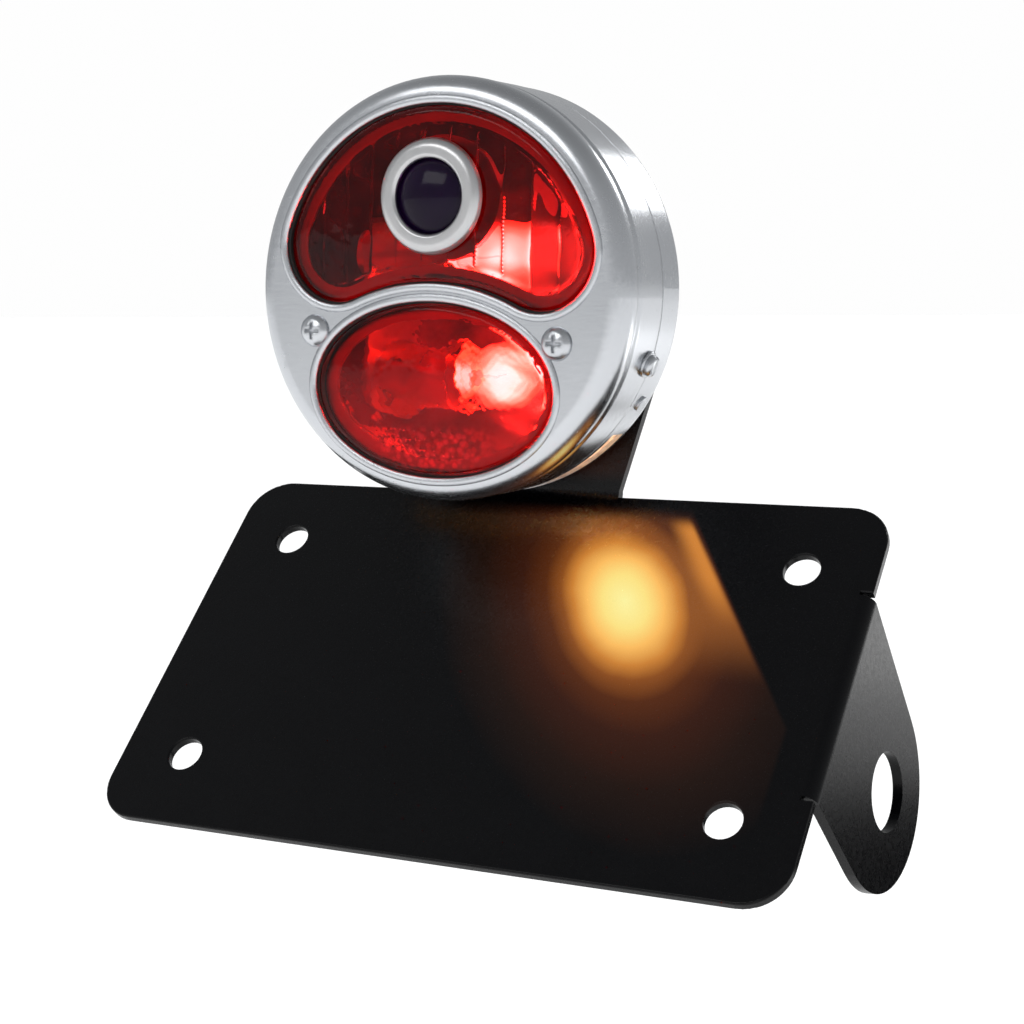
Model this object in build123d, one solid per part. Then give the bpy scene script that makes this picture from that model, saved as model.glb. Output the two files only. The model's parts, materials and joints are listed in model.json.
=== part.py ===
"""Motorcycle tail light on a bent side-mount number plate bracket.

Millimetres. +X is towards the side ear, +Y is towards the motorcycle (away from the lens), +Z is up.
The origin is the centre of the axle hole in the side ear.
Lamp pieces are drawn in the lamp's own frame first: its origin is the centre of the door's face,
x to the right, y is the depth behind the face, z up.
Bulb and socket pieces are drawn along +X from the bulb's contact tip.
"""
from build123d import *
import math
import os

# ---- bracket -------------------------------------------------------------------------------
SHEET = 2.5                  # steel sheet thickness
PLATE_TILT = 45.0            # the plate leans back from vertical by this angle
PLATE_W = 184.0
PLATE_H = 109.2
PLATE_CORNER_R = 11.0
HOLE_SPACING_X = 146.05      # number plate bolt holes, 5 3/4 in apart
HOLE_SPACING_Y = 69.85       # and 2 3/4 in apart
PLATE_HOLE_R = 4.6
EDGE_SOFT = 0.5              # rounding of the sheet's cut edges
TAB_BEND_R = 3.0             # inside radius of the bend under the lamp
TAB_DISC_R = 48.5            # the tab's round end, behind the lamp
TAB_NECK_HALF = 33.7         # half width of the tab where it leaves the plate
EAR_BEND_R = 1.0             # inside radius of the ear's bend
EAR_SPLAY = 6.0              # the ear opens this many degrees past square
EAR_TOP_V = 28.6             # the ear's root, up and down the plate's edge
EAR_BOTTOM_V = -26.6
EAR_RELIEF = 0.8             # gap cut beside each end of the ear's bend
EAR_END = (31.0, -4.3)       # centre of the ear's rounded end, out from the bend and up
EAR_END_R = 24.3
AXLE_HOLE = (34.5, -3.0)     # axle hole centre on the ear
AXLE_HOLE_R = 9.55           # clears a 3/4 in axle

# ---- lamp ----------------------------------------------------------------------------------
LAMP_X = -15.0               # lamp axis from the plate's centre
LAMP_Z = 91.5
LAMP_R = 52.4                # outside of the door, 4 1/8 in across
DOOR_WALL = 1.0
SHOULDER_R = 5.0
GROOVE_START = 6.2           # fine groove pressed round the door, between these depths
GROOVE_END = 8.8
GROOVE_DEEP = 0.5
SKIRT_R = 52.3
DOOR_ROLL = 2.6              # the door sits turned clockwise on its housing by this much
SKIRT_END = 21.0             # depth where the door's skirt stops
HOUSING_WALL = 1.0
SPIGOT_R = 51.1              # the housing's front part, inside the skirt
SPIGOT_START = 7.0
BAND_R = 52.2                # the housing's rear part, in line with the skirt
LAMP_DEPTH = 33.5
BACK_CORNER_R = 3.0
PAD_THICK = 2.0
PAD_R = 44.0

LOBE_R = 14.9                # upper lens opening: its two round ends
LOBE_X = 28.8
LOBE_Z = 10.2
SADDLE_Z = -52.7             # centre of its lower, concave arc
OVAL_A = 34.0                # lower lens opening, half width and half height
OVAL_B = 21.9
OVAL_Z = -24.6
LENS_GAP = 0.6               # gasket showing between the metal and a lens
GASKET_THICK = 1.2
GASKET_LAP = 0.8             # gasket under the metal
LIP_R = 0.8                  # rounding of the door's two openings
LENS_FLANGE = 2.0
LENS_WALL = 2.4
LENS_LAP = 1.8               # how far a lens flange reaches under the metal
LENS_DOME_R = 350.0
LENS_CROWN = 1.5             # how far the middle of a lens stands proud of the face
RETAINER_R = 48.4
RETAINER_THICK = 1.0
RETAINER_INSET = 4.4         # its openings are smaller than the door's by this much all round

DOT_Z = 22.7                 # blue dot
DOT_BEZEL_R = 14.2
DOT_GLASS_R = 10.1
DOT_NECK_R = 11.6
DOT_PROUD = 4.6

LENS_SCREW_X = 34.4
LENS_SCREW_Z = -11.5
LENS_SCREW_R = 2.0
LENS_SCREW_HEAD_R = 4.2
LENS_SCREW_END = 9.0
LENS_NUT_THICK = 3.0
SCREW_CLEARANCE = 0.15       # round a screw, on the radius
DOOR_SCREW_ANGLE = 20.5      # below the horizontal, one on each side
DOOR_SCREW_DEPTH = 18.8
DOOR_SCREW_R = 1.5
DOOR_SCREW_HEAD_R = 2.7
DOOR_NOTCH_R = 1.8
DOOR_WASHER_R = 3.4
DOOR_WASHER_THICK = 0.6
DOOR_NUT_THICK = 2.4
DRILL = 8.0                  # length of a cut through a thin wall

WINDOW_HALF = 46.0           # number plate window under the lamp, degrees each side of the bottom
WINDOW_START = 23.6
WINDOW_END = 29.6
WINDOW_LENS_HALF = 52.0
RIVET_ANGLE = 57.0
RIVET_R = 1.6
WINDOW_LENS_START = 22.8     # its clear lens is wider than the window
WINDOW_LENS_END = 30.4
WINDOW_LENS_THICK = 1.6
WINDOW_FRAME_THICK = 0.6

STUD_X = 22.0                # two mounting studs through the housing's back
STUD_Z = 25.0
STUD_R = 3.0
STUD_END = 49.0
STUD_HOLE_R = 3.3
WASHER_THICK = 1.2
LOCK_THICK = 1.6
NUT_THICK = 5.2
NUT_FLAT_R = 5.77            # across the nut's corners, halved
GROMMET_X = 24.0
GROMMET_Z = -6.0
GROMMET_HOLE_R = 6.0
GROMMET_END = 42.0
WIRE_HOLE_R = 3.2            # where the grommet's neck grips the wires
WIRE_NECK_START = 38.6
WIRE_ROOM_R = 3.6            # in front of that

# ---- bulbs and sockets ---------------------------------------------------------------------
BULB_DEPTH = 19.5            # bulb axis behind the face
TIP_X = -17.5                # contact tip, from the lamp's axis
BULBS = {"tail": -22.0, "stop": 9.0}
GLOBE_R = 9.5
GLOBE_S = 27.0               # globe centre from the contact tip
GLASS_NECK_R = 6.6
GLASS_WALL = 0.7
BASE_R = 7.6
BASE_START = 3.0
BASE_END = 17.0
BASE_WALL = 0.5
PIN_S = 9.5
PIN_R = 1.0
PIN_REACH = 8.65
SHELL_IN_R = 7.75
SHELL_R = 8.6
SHELL_START = -10.5
SHELL_END = 14.5
SHELL_FLOOR = 0.8
PRESS = 2.0                  # travel of a bulb into its socket
TWIST = 25.0                 # turn that frees its pins
PLUNGER_FACE = -0.8          # the plunger disc's face, from the contact tip
PLUNGER_THICK = 2.2
SPRING_WIRE_R = 0.4
SPRING_COIL_R = 5.9
SPRING_TURNS = 4
FILAMENT_WIRE_R = 0.25
BRACKET_SHEET = 1.2
BRACKET_S = -7.7             # socket bracket's face, from the contact tip
BRACKET_FRONT = 8.6          # depth of its free edge
BRACKET_CORNER_R = 8.0
BRACKET_MARGIN = 10.2        # beyond the axes of the two bulbs
BRACKET_FOOT = 12.0
FOOT_RIVET_IN = 7.0          # its rivets, from the bracket's face

half_w = PLATE_W / 2
half_h = PLATE_H / 2
tilt = math.radians(PLATE_TILT)
splay = math.radians(EAR_SPLAY)
plate_up = Vector(0, math.sin(tilt), math.cos(tilt))
plate_back = Vector(0, math.cos(tilt), -math.sin(tilt))
ear_out = plate_back * math.cos(splay) + Vector(math.sin(splay), 0, 0)
ear_normal = Vector(math.cos(splay), 0, 0) - plate_back * math.sin(splay)
axle_from_plate = (Vector(half_w, 0, 0) + ear_out * AXLE_HOLE[0] + plate_up * AXLE_HOLE[1]
                   - ear_normal * (SHEET / 2))
ear_setback = (EAR_BEND_R + SHEET) * math.tan((math.pi / 2 - splay) / 2)
tab_setback = TAB_BEND_R * math.tan(tilt / 2)
TAB_Y = half_h * math.sin(tilt)          # the tab's front face, from the plate's centre
LAMP_FACE_Y = TAB_Y - PAD_THICK - LAMP_DEPTH
SKIRT_IN_R = LAMP_R - DOOR_WALL
SPIGOT_IN_R = SPIGOT_R - HOUSING_WALL
BAND_IN_R = BAND_R - HOUSING_WALL
BACK_INSIDE = LAMP_DEPTH - HOUSING_WALL  # depth of the housing's inner back face
TAB_BACK = LAMP_DEPTH + PAD_THICK + SHEET
LENS_SEAT = DOOR_WALL + GASKET_THICK     # front of a lens flange
LENS_BACK = LENS_SEAT + LENS_FLANGE

plate_place = Location(axle_from_plate * -1)
lamp_place = plate_place * Location((LAMP_X, LAMP_FACE_Y, LAMP_Z))
face_plane = Plane(origin=(0, 0, 0), x_dir=(1, 0, 0), z_dir=(0, -1, 0))


def slab(outline, near, far):
    """An outline seen from the front, made solid between two depths."""
    return extrude(face_plane.offset(-far) * outline, amount=far - near)


def turned(points):
    """A ring or disc about the lamp's axis from (radius, depth) corners."""
    return revolve(make_face(Polyline(*points, close=True)), axis=Axis.Y)


def turned_on_x(points):
    """A solid about the bulb's axis from (distance, radius) corners."""
    return revolve(make_face(Polyline(*points, close=True)), axis=Axis.X)


def polar(radius, degrees):
    return (radius * math.cos(math.radians(degrees)), radius * math.sin(math.radians(degrees)))


def tangent_point(point, centre, radius, side):
    """Where a line from point touches a circle; side is +1 or -1."""
    dx = point[0] - centre[0]
    dy = point[1] - centre[1]
    angle = math.atan2(dy, dx) + side * math.acos(radius / math.hypot(dx, dy))
    return (centre[0] + radius * math.cos(angle), centre[1] + radius * math.sin(angle))


def arc_about(centre, radius, start, end):
    """An arc about a centre, from one angle to another in degrees."""
    turns = [polar(radius, angle) for angle in (start, (start + end) / 2, end)]
    return ThreePointArc(*[(centre[0] + across, centre[1] + up) for across, up in turns])


def sector(inner, outer, start, sweep):
    """A flat ring sector, angles in degrees."""
    end = start + sweep
    outline = Line(polar(outer, start), polar(inner, start))
    outline += arc_about((0, 0), inner, start, end)
    outline += Line(polar(inner, end), polar(outer, end))
    outline += arc_about((0, 0), outer, end, start)
    return make_face(outline)


def both_sides(piece, x, z):
    """A piece placed left and right of the lamp's axis, as one group."""
    return Compound(children=[Pos(side * x, 0, z) * piece for side in (-1, 1)])


# ---- the bent bracket ----------------------------------------------------------------------
def plate_panel():
    """The flat number plate, cut back where the ear and the tab bend out of it."""
    ear_line = half_w - ear_setback
    tab_line = half_h - tab_setback
    outline = RectangleRounded(PLATE_W, PLATE_H, PLATE_CORNER_R)
    outline -= Pos(LAMP_X, half_h) * Rectangle(2 * TAB_NECK_HALF, 2 * tab_setback)
    relief_h = EAR_TOP_V - EAR_BOTTOM_V + 2 * EAR_RELIEF
    outline -= Pos(half_w, (EAR_TOP_V + EAR_BOTTOM_V) / 2) * Rectangle(2 * ear_setback, relief_h)
    for x in (-HOLE_SPACING_X / 2, HOLE_SPACING_X / 2):
        for y in (-HOLE_SPACING_Y / 2, HOLE_SPACING_Y / 2):
            outline -= Pos(x, y) * Circle(PLATE_HOLE_R)
    panel = extrude(outline, amount=-SHEET)
    cut_edges = panel.edges().filter_by(
        lambda edge: edge.bounding_box().size.Z < 0.01
        and abs(edge.center().X - ear_line) > 0.01
        and abs(edge.center().Y - tab_line) > 0.01)
    return fillet(cut_edges, EDGE_SOFT)


def ear_panel():
    """The ear's flat: straight sides from the bend to its round end, and the axle hole."""
    top_start = (ear_setback, EAR_TOP_V)
    bottom_start = (ear_setback, EAR_BOTTOM_V)
    top_touch = tangent_point(top_start, EAR_END, EAR_END_R, -1)
    bottom_touch = tangent_point(bottom_start, EAR_END, EAR_END_R, 1)
    outline = Circle(EAR_END_R).moved(Location((EAR_END[0], EAR_END[1], 0)))
    outline += make_face(Polyline(top_start, top_touch, bottom_touch, bottom_start, close=True))
    outline -= Pos(AXLE_HOLE[0], AXLE_HOLE[1]) * Circle(AXLE_HOLE_R)
    return extrude(outline, amount=-SHEET)


def ear_bend():
    """The bend's ring sector, seen along the plate's edge, drawn up the edge."""
    section = sector(EAR_BEND_R, EAR_BEND_R + SHEET, 0, 90 - EAR_SPLAY)
    up_edge = Plane(origin=(half_w - ear_setback, EAR_TOP_V, -(EAR_BEND_R + SHEET)),
                    x_dir=(math.cos(splay), 0, math.sin(splay)), z_dir=(0, -1, 0))
    return extrude(up_edge * section, amount=EAR_TOP_V - EAR_BOTTOM_V)


def tab_neck():
    """The bend under the lamp, as wide as the tab's root."""
    section = sector(TAB_BEND_R, TAB_BEND_R + SHEET, -90, PLATE_TILT)
    across = Plane(origin=(LAMP_X - TAB_NECK_HALF, half_h - tab_setback, TAB_BEND_R),
                   x_dir=(0, 1, 0), z_dir=(1, 0, 0))
    return extrude(across * section, amount=2 * TAB_NECK_HALF)


def tab_panel():
    """The upright tab, in the plate's centred, untilted frame."""
    root_z = half_h * math.cos(tilt) + tab_setback - LAMP_Z
    left_root = (-TAB_NECK_HALF, root_z)
    right_root = (TAB_NECK_HALF, root_z)
    left_touch = tangent_point(left_root, (0, 0), TAB_DISC_R, -1)
    right_touch = tangent_point(right_root, (0, 0), TAB_DISC_R, 1)
    outline = Circle(TAB_DISC_R)
    outline += make_face(Polyline(left_root, right_root, right_touch, left_touch, close=True))
    for side in (-1, 1):
        outline -= Pos(side * STUD_X, STUD_Z) * Circle(STUD_HOLE_R)
    outline -= Pos(GROMMET_X, GROMMET_Z) * Circle(GROMMET_HOLE_R + 1.0)
    panel = slab(outline, 0, SHEET)
    return Location((LAMP_X, TAB_Y, LAMP_Z)) * panel


def mounting_bracket():
    """One sheet: the plate, the tab behind the lamp and the side ear with the axle hole."""
    leaned = Plane(origin=(0, 0, 0), x_dir=(1, 0, 0), z_dir=plate_back * -1).location
    ear_plane = Plane(origin=(half_w, 0, 0), x_dir=ear_out, z_dir=ear_normal)
    body = leaned * (plate_panel() + ear_bend() + tab_neck())
    body += ear_plane.location * ear_panel()
    body += tab_panel()
    return plate_place * body


# ---- outlines of the openings --------------------------------------------------------------
def kidney(grow):
    """The upper opening, grown by some distance all round: two lobes, a crown arc and a saddle arc."""
    lobe = LOBE_R + grow
    crown = math.degrees(math.atan2(LOBE_Z, LOBE_X))
    saddle = math.degrees(math.atan2(LOBE_Z - SADDLE_Z, LOBE_X))
    crown_r = math.hypot(LOBE_X, LOBE_Z) + lobe
    saddle_r = math.hypot(LOBE_X, LOBE_Z - SADDLE_Z) - lobe
    outline = arc_about((0, 0), crown_r, crown, 180 - crown)
    outline += arc_about((-LOBE_X, LOBE_Z), lobe, 180 - crown, 360 - saddle)
    outline += arc_about((0, SADDLE_Z), saddle_r, 180 - saddle, saddle)
    outline += arc_about((LOBE_X, LOBE_Z), lobe, 180 + saddle, 360 + crown)
    return make_face(outline)


def oval(grow):
    """The lower opening, grown by some distance all round."""
    return Pos(0, OVAL_Z) * Ellipse(OVAL_A + grow, OVAL_B + grow)


def both_screws(radius):
    return (Pos(-LENS_SCREW_X, LENS_SCREW_Z) * Circle(radius)
            + Pos(LENS_SCREW_X, LENS_SCREW_Z) * Circle(radius))


# ---- the door and what it carries ----------------------------------------------------------
def door_profile():
    """Flat face, rounded shoulder, fine groove and long skirt, as (radius, depth)."""
    flat_r = LAMP_R - SHOULDER_R
    groove_floor = 0.8
    profile = Line((0, 0), (flat_r, 0))
    profile += arc_about((flat_r, SHOULDER_R), SHOULDER_R, -90, 0)
    profile += Polyline((LAMP_R, SHOULDER_R), (LAMP_R, GROOVE_START),
                        (LAMP_R - GROOVE_DEEP, GROOVE_START + groove_floor),
                        (LAMP_R - GROOVE_DEEP, GROOVE_START + 2 * groove_floor),
                        (SKIRT_R, GROOVE_END), (SKIRT_R, SKIRT_END), (SKIRT_IN_R, SKIRT_END),
                        (SKIRT_IN_R, SHOULDER_R))
    profile += arc_about((flat_r, SHOULDER_R), SHOULDER_R - DOOR_WALL, 0, -90)
    profile += Polyline((flat_r, DOOR_WALL), (0, DOOR_WALL), (0, 0))
    return make_face(profile)


def is_opening_lip(edge):
    """True for an edge of a lens opening in the door's front face."""
    box = edge.bounding_box()
    return box.max.Y < 0.01 and edge.length > 20 and box.size.X < 2 * (LAMP_R - SHOULDER_R) - 1


def lens_door():
    """Pressed stainless door with its openings, and a notch in the skirt for each door screw."""
    door = revolve(door_profile(), axis=Axis.Y)
    for opening in (kidney(0), oval(0), both_screws(LENS_SCREW_R + SCREW_CLEARANCE)):
        door -= slab(opening, -1, 2)
    door = Rot(0, DOOR_ROLL, 0) * fillet(door.edges().filter_by(is_opening_lip), LIP_R)
    notch_run = SKIRT_END - DOOR_SCREW_DEPTH + DRILL
    notch = Cylinder(DOOR_NOTCH_R, DRILL) + Pos(0, notch_run / 2, 0) * Box(2 * DOOR_NOTCH_R, notch_run, DRILL)
    return door - door_screw_places(Pos(0, 0, SKIRT_R) * notch)


def lens_gasket(outline):
    """Flat rubber between the door's face and a lens flange."""
    return slab(outline(GASKET_LAP) - outline(-LENS_GAP), DOOR_WALL, LENS_SEAT)


def lens(outline, centre_z):
    """A pressed lens: a flange under the metal and a gently domed crown through the opening."""
    edge = -LENS_GAP - 0.3
    flange = slab(outline(LENS_LAP), LENS_SEAT, LENS_BACK)
    crown = slab(outline(edge), -LENS_CROWN - 1, LENS_BACK)
    ball = Pos(0, LENS_DOME_R - LENS_CROWN, centre_z) * Sphere(LENS_DOME_R)
    hollow = slab(outline(edge - LENS_WALL), -LENS_CROWN - 1, LENS_BACK + 1)
    inner_ball = Pos(0, LENS_DOME_R - LENS_CROWN + LENS_WALL, centre_z) * Sphere(LENS_DOME_R)
    return flange + (crown & ball) - (hollow & inner_ball)


def upper_lens():
    hole = slab(Pos(0, DOT_Z) * Circle(DOT_NECK_R + 0.1), -5, 10)
    return lens(kidney, DOT_Z) - hole


def lower_lens():
    return lens(oval, OVAL_Z)


def blue_dot_bezel():
    """Turned ring that holds the blue glass, with a neck through the upper lens."""
    front = -DOT_PROUD
    seat = -LENS_CROWN - 0.8
    neck_end = 7.0
    points = [(DOT_GLASS_R - 0.9, front + 0.5), (DOT_GLASS_R - 0.3, front),
              (DOT_BEZEL_R - 1.6, front + 0.3), (DOT_BEZEL_R - 0.5, front + 1.1),
              (DOT_BEZEL_R, front + 2.2), (DOT_BEZEL_R, seat), (DOT_NECK_R, seat),
              (DOT_NECK_R, neck_end), (DOT_GLASS_R + 0.1, neck_end),
              (DOT_GLASS_R + 0.1, front + 1.4), (DOT_GLASS_R - 0.9, front + 1.4)]
    return Pos(0, 0, DOT_Z) * turned(points)


def blue_dot_gem():
    """Domed glass that fills the bezel from behind."""
    base = -DOT_PROUD + 1.4
    disc = turned([(0, base), (DOT_GLASS_R, base), (DOT_GLASS_R, base + 4), (0, base + 4)])
    dome_r = 16.0
    ball = Pos(0, dome_r - DOT_PROUD - 0.9, 0) * Sphere(dome_r)
    button = turned([(0, -8), (DOT_GLASS_R - 1.0, -8), (DOT_GLASS_R - 1.0, base), (0, base)])
    return Pos(0, 0, DOT_Z) * (disc + (button & ball))


def blue_dot_nut():
    """Thin ring nut on the neck, behind the upper lens."""
    near = LENS_BACK + 0.2
    far = near + 2.0
    return Pos(0, 0, DOT_Z) * turned([(DOT_NECK_R, near), (DOT_BEZEL_R + 1.2, near),
                                      (DOT_BEZEL_R + 1.2, far), (DOT_NECK_R, far)])


def blue_dot_seal():
    """Rubber washer between the bezel and the lens crown."""
    near = -LENS_CROWN - 0.8
    far = 0.1 - LENS_CROWN
    return Pos(0, 0, DOT_Z) * (turned([(DOT_NECK_R, near), (DOT_BEZEL_R - 0.6, near),
                                       (DOT_BEZEL_R - 0.6, far), (DOT_NECK_R, far)]))


def lens_retainer():
    """Pressed plate that holds both lens flanges against the door."""
    outline = Circle(RETAINER_R) - kidney(-RETAINER_INSET) - oval(-RETAINER_INSET)
    outline -= both_screws(LENS_SCREW_R + SCREW_CLEARANCE)
    outline -= Pos(0, DOT_Z) * Circle(DOT_BEZEL_R + 1.6)
    return slab(outline, LENS_BACK, LENS_BACK + RETAINER_THICK)


def lens_screws():
    """Two domed cross-head screws through the face and the retainer."""
    head = turned([(0, -2.3), (1.6, -2.2), (3.0, -1.6), (3.9, -0.7), (LENS_SCREW_HEAD_R, 0), (0, 0)])
    screw = head + turned([(0, 0), (LENS_SCREW_R, 0), (LENS_SCREW_R, LENS_SCREW_END), (0, LENS_SCREW_END)])
    for turn in (0, 90):
        screw -= Rot(0, turn, 0) * Pos(0, -2.0, 0) * Box(0.8, 2.0, LENS_SCREW_HEAD_R)
    return both_sides(screw, LENS_SCREW_X, LENS_SCREW_Z)


def lens_nuts():
    near = LENS_BACK + RETAINER_THICK
    nut = slab(RegularPolygon(4.0, 6) - Circle(LENS_SCREW_R), near, near + LENS_NUT_THICK)
    return both_sides(nut, LENS_SCREW_X, LENS_SCREW_Z)


# ---- the housing and what it carries -------------------------------------------------------
def housing_profile():
    """Spigot, joggle, rear band and back of the cup, as (radius, depth)."""
    corner = (BAND_R - BACK_CORNER_R, LAMP_DEPTH - BACK_CORNER_R)
    profile = Polyline((SPIGOT_IN_R, SPIGOT_START), (SPIGOT_R, SPIGOT_START),
                       (SPIGOT_R, SKIRT_END + 0.2), (BAND_R, SKIRT_END + 0.6), (BAND_R, corner[1]))
    profile += arc_about(corner, BACK_CORNER_R, 0, 90)
    profile += Polyline((corner[0], LAMP_DEPTH), (0, LAMP_DEPTH), (0, BACK_INSIDE), (corner[0], BACK_INSIDE))
    profile += arc_about(corner, BACK_CORNER_R - HOUSING_WALL, 90, 0)
    profile += Polyline((BAND_IN_R, corner[1]), (BAND_IN_R, SKIRT_END + 1.6),
                        (SPIGOT_IN_R, SKIRT_END + 1.1), (SPIGOT_IN_R, SPIGOT_START))
    return make_face(profile)


def bottom_arc(inner, outer, half_angle, near, far):
    """A curved strip round the lamp's underside."""
    return slab(sector(inner, outer, -90 - half_angle, 2 * half_angle), near, far)


def lamp_housing():
    """The cup behind the door, open below for the number plate window."""
    cup = revolve(housing_profile(), axis=Axis.Y)
    cup -= bottom_arc(BAND_R - 3, BAND_R + 3, WINDOW_HALF, WINDOW_START, WINDOW_END)
    holes = Pos(GROMMET_X, GROMMET_Z) * Circle(GROMMET_HOLE_R)
    for side in (-1, 1):
        holes += Pos(side * STUD_X, STUD_Z) * Circle(STUD_R)
    cup -= slab(holes, LAMP_DEPTH - 3, LAMP_DEPTH + 1)
    cup -= door_screw_places(Pos(0, 0, SPIGOT_R) * Cylinder(DOOR_SCREW_R, DRILL))
    cup -= window_rivet_places(Pos(0, 0, BAND_R) * Cylinder(RIVET_R, DRILL))
    return cup


def door_screw_places(piece):
    """A radial piece, drawn along +Z from the axis, copied to both door screws."""
    right = Rot(0, 90 + DOOR_SCREW_ANGLE, 0) * Pos(0, DOOR_SCREW_DEPTH, 0) * piece
    left = Rot(0, -90 - DOOR_SCREW_ANGLE, 0) * Pos(0, DOOR_SCREW_DEPTH, 0) * piece
    return Compound(children=[right, left])


def window_rivet_places(piece):
    """A radial piece, drawn along +Z from the axis, copied to both window rivets."""
    depth = (WINDOW_START + WINDOW_END) / 2
    pair = [Rot(0, 180 + side * RIVET_ANGLE, 0) * Pos(0, depth, 0) * piece for side in (-1, 1)]
    return Compound(children=pair)


def window_lens():
    inner = BAND_IN_R - WINDOW_LENS_THICK
    return bottom_arc(inner, BAND_IN_R, WINDOW_LENS_HALF, WINDOW_LENS_START, WINDOW_LENS_END)


def window_retainer():
    """Thin strip frame inside the clear window, turned out to the wall at its riveted ends."""
    outer = BAND_IN_R - WINDOW_LENS_THICK
    strip_half = RIVET_ANGLE + 4
    frame = bottom_arc(outer - WINDOW_FRAME_THICK, outer, strip_half, WINDOW_LENS_START, WINDOW_LENS_END)
    frame -= bottom_arc(outer - 2, outer + 1, WINDOW_HALF, WINDOW_START, WINDOW_END)
    foot_middle = (strip_half + WINDOW_LENS_HALF) / 2
    foot_half = (strip_half - WINDOW_LENS_HALF) / 2 - 0.1
    for side in (-1, 1):
        foot = sector(outer, BAND_IN_R, -90 + side * foot_middle - foot_half, 2 * foot_half)
        frame += slab(foot, WINDOW_LENS_START, WINDOW_LENS_END)
    return frame - window_rivet_places(Pos(0, 0, BAND_R) * Cylinder(RIVET_R, 12))


def window_rivets():
    head_out = Pos(0, 0, BAND_R + 0.25) * Cylinder(RIVET_R + 0.5, 0.5)
    shank = Pos(0, 0, BAND_R - 1.9) * Cylinder(RIVET_R, 4.6)
    return window_rivet_places(head_out + shank)


def door_screws():
    """Two small pan screws through the skirt's notches into nuts inside the housing."""
    start = SKIRT_R + 0.05 + DOOR_WASHER_THICK
    head_h = 1.8
    shank_len = 8.0
    head = Pos(0, 0, start + head_h / 2) * Cylinder(DOOR_SCREW_HEAD_R, head_h)
    head = fillet(head.edges().sort_by(Axis.Z)[-1], 1.0)
    shank = Pos(0, 0, start - shank_len / 2) * Cylinder(DOOR_SCREW_R, shank_len)
    slot = Pos(0, 0, start + head_h) * Box(8, 0.7, 1.4)
    return door_screw_places(head + shank - slot)


def door_screw_washers():
    """Flat washers under the door screws."""
    ring = Cylinder(DOOR_WASHER_R, DOOR_WASHER_THICK) - Cylinder(DOOR_SCREW_R, 3)
    return door_screw_places(Pos(0, 0, SKIRT_R + 0.05 + DOOR_WASHER_THICK / 2) * ring)


def door_screw_nuts():
    """Square nuts pressed inside the spigot wall."""
    nut = Box(6.6, 6.6, DOOR_NUT_THICK) - Cylinder(DOOR_SCREW_R, DRILL)
    return door_screw_places(Pos(0, 0, SPIGOT_IN_R - 0.35 - DOOR_NUT_THICK / 2) * nut)


def mount_pad():
    """Rubber disc between the housing and the tab."""
    outline = Circle(PAD_R) - Pos(GROMMET_X, GROMMET_Z) * Circle(GROMMET_HOLE_R + 1.0)
    for side in (-1, 1):
        outline -= Pos(side * STUD_X, STUD_Z) * Circle(STUD_R)
    return slab(outline, LAMP_DEPTH, LAMP_DEPTH + PAD_THICK)


def at_studs(piece):
    """A piece on each of the two mounting studs."""
    return both_sides(piece, STUD_X, STUD_Z)


def mounting_studs():
    """Square-headed studs through the housing's back, the pad and the tab."""
    head = slab(RectangleRounded(11, 11, 1.5), BACK_INSIDE - 2.4, BACK_INSIDE)
    shank = turned([(0, BACK_INSIDE), (STUD_R, BACK_INSIDE), (STUD_R, STUD_END - 0.8),
                    (STUD_R - 0.8, STUD_END), (0, STUD_END)])
    return at_studs(head + shank)


def ring_at(outer, inner, near, far):
    """A flat ring about the lamp's axis between two depths."""
    return slab(Circle(outer) - Circle(inner), near, far)


def flat_washers():
    """Plain washers behind the tab."""
    return at_studs(ring_at(6.2, STUD_R + 0.2, TAB_BACK, TAB_BACK + WASHER_THICK))


def lock_washers():
    """Split spring washers."""
    start = TAB_BACK + WASHER_THICK
    ring = ring_at(5.4, STUD_R + 0.1, start, start + LOCK_THICK)
    return at_studs(ring - Pos(4.4, start + LOCK_THICK / 2, 0) * Rot(20, 0, 0) * Box(4, 4, 0.6))


def hex_nuts():
    """Chamfered nuts on the studs."""
    start = TAB_BACK + WASHER_THICK + LOCK_THICK
    end = start + NUT_THICK
    nut = slab(RegularPolygon(NUT_FLAT_R, 6) - Circle(STUD_R), start, end)
    cone = turned([(0, start - 0.1), (5.3, start - 0.1), (6.0, start + 0.6), (6.0, end - 0.6),
                   (5.3, end + 0.1), (0, end + 0.1)])
    return at_studs(nut & cone)


def wire_grommet():
    """Rubber grommet through the housing's back and the pad, standing out through the tab."""
    front = BACK_INSIDE - 1.4
    points = [(WIRE_ROOM_R, front), (GROMMET_HOLE_R + 1.6, front), (GROMMET_HOLE_R + 1.6, BACK_INSIDE),
              (GROMMET_HOLE_R, BACK_INSIDE), (GROMMET_HOLE_R, GROMMET_END - 1.0),
              (GROMMET_HOLE_R - 0.8, GROMMET_END), (WIRE_HOLE_R, GROMMET_END),
              (WIRE_HOLE_R, WIRE_NECK_START), (WIRE_ROOM_R, WIRE_NECK_START)]
    return Pos(GROMMET_X, 0, GROMMET_Z) * turned(points)


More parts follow.
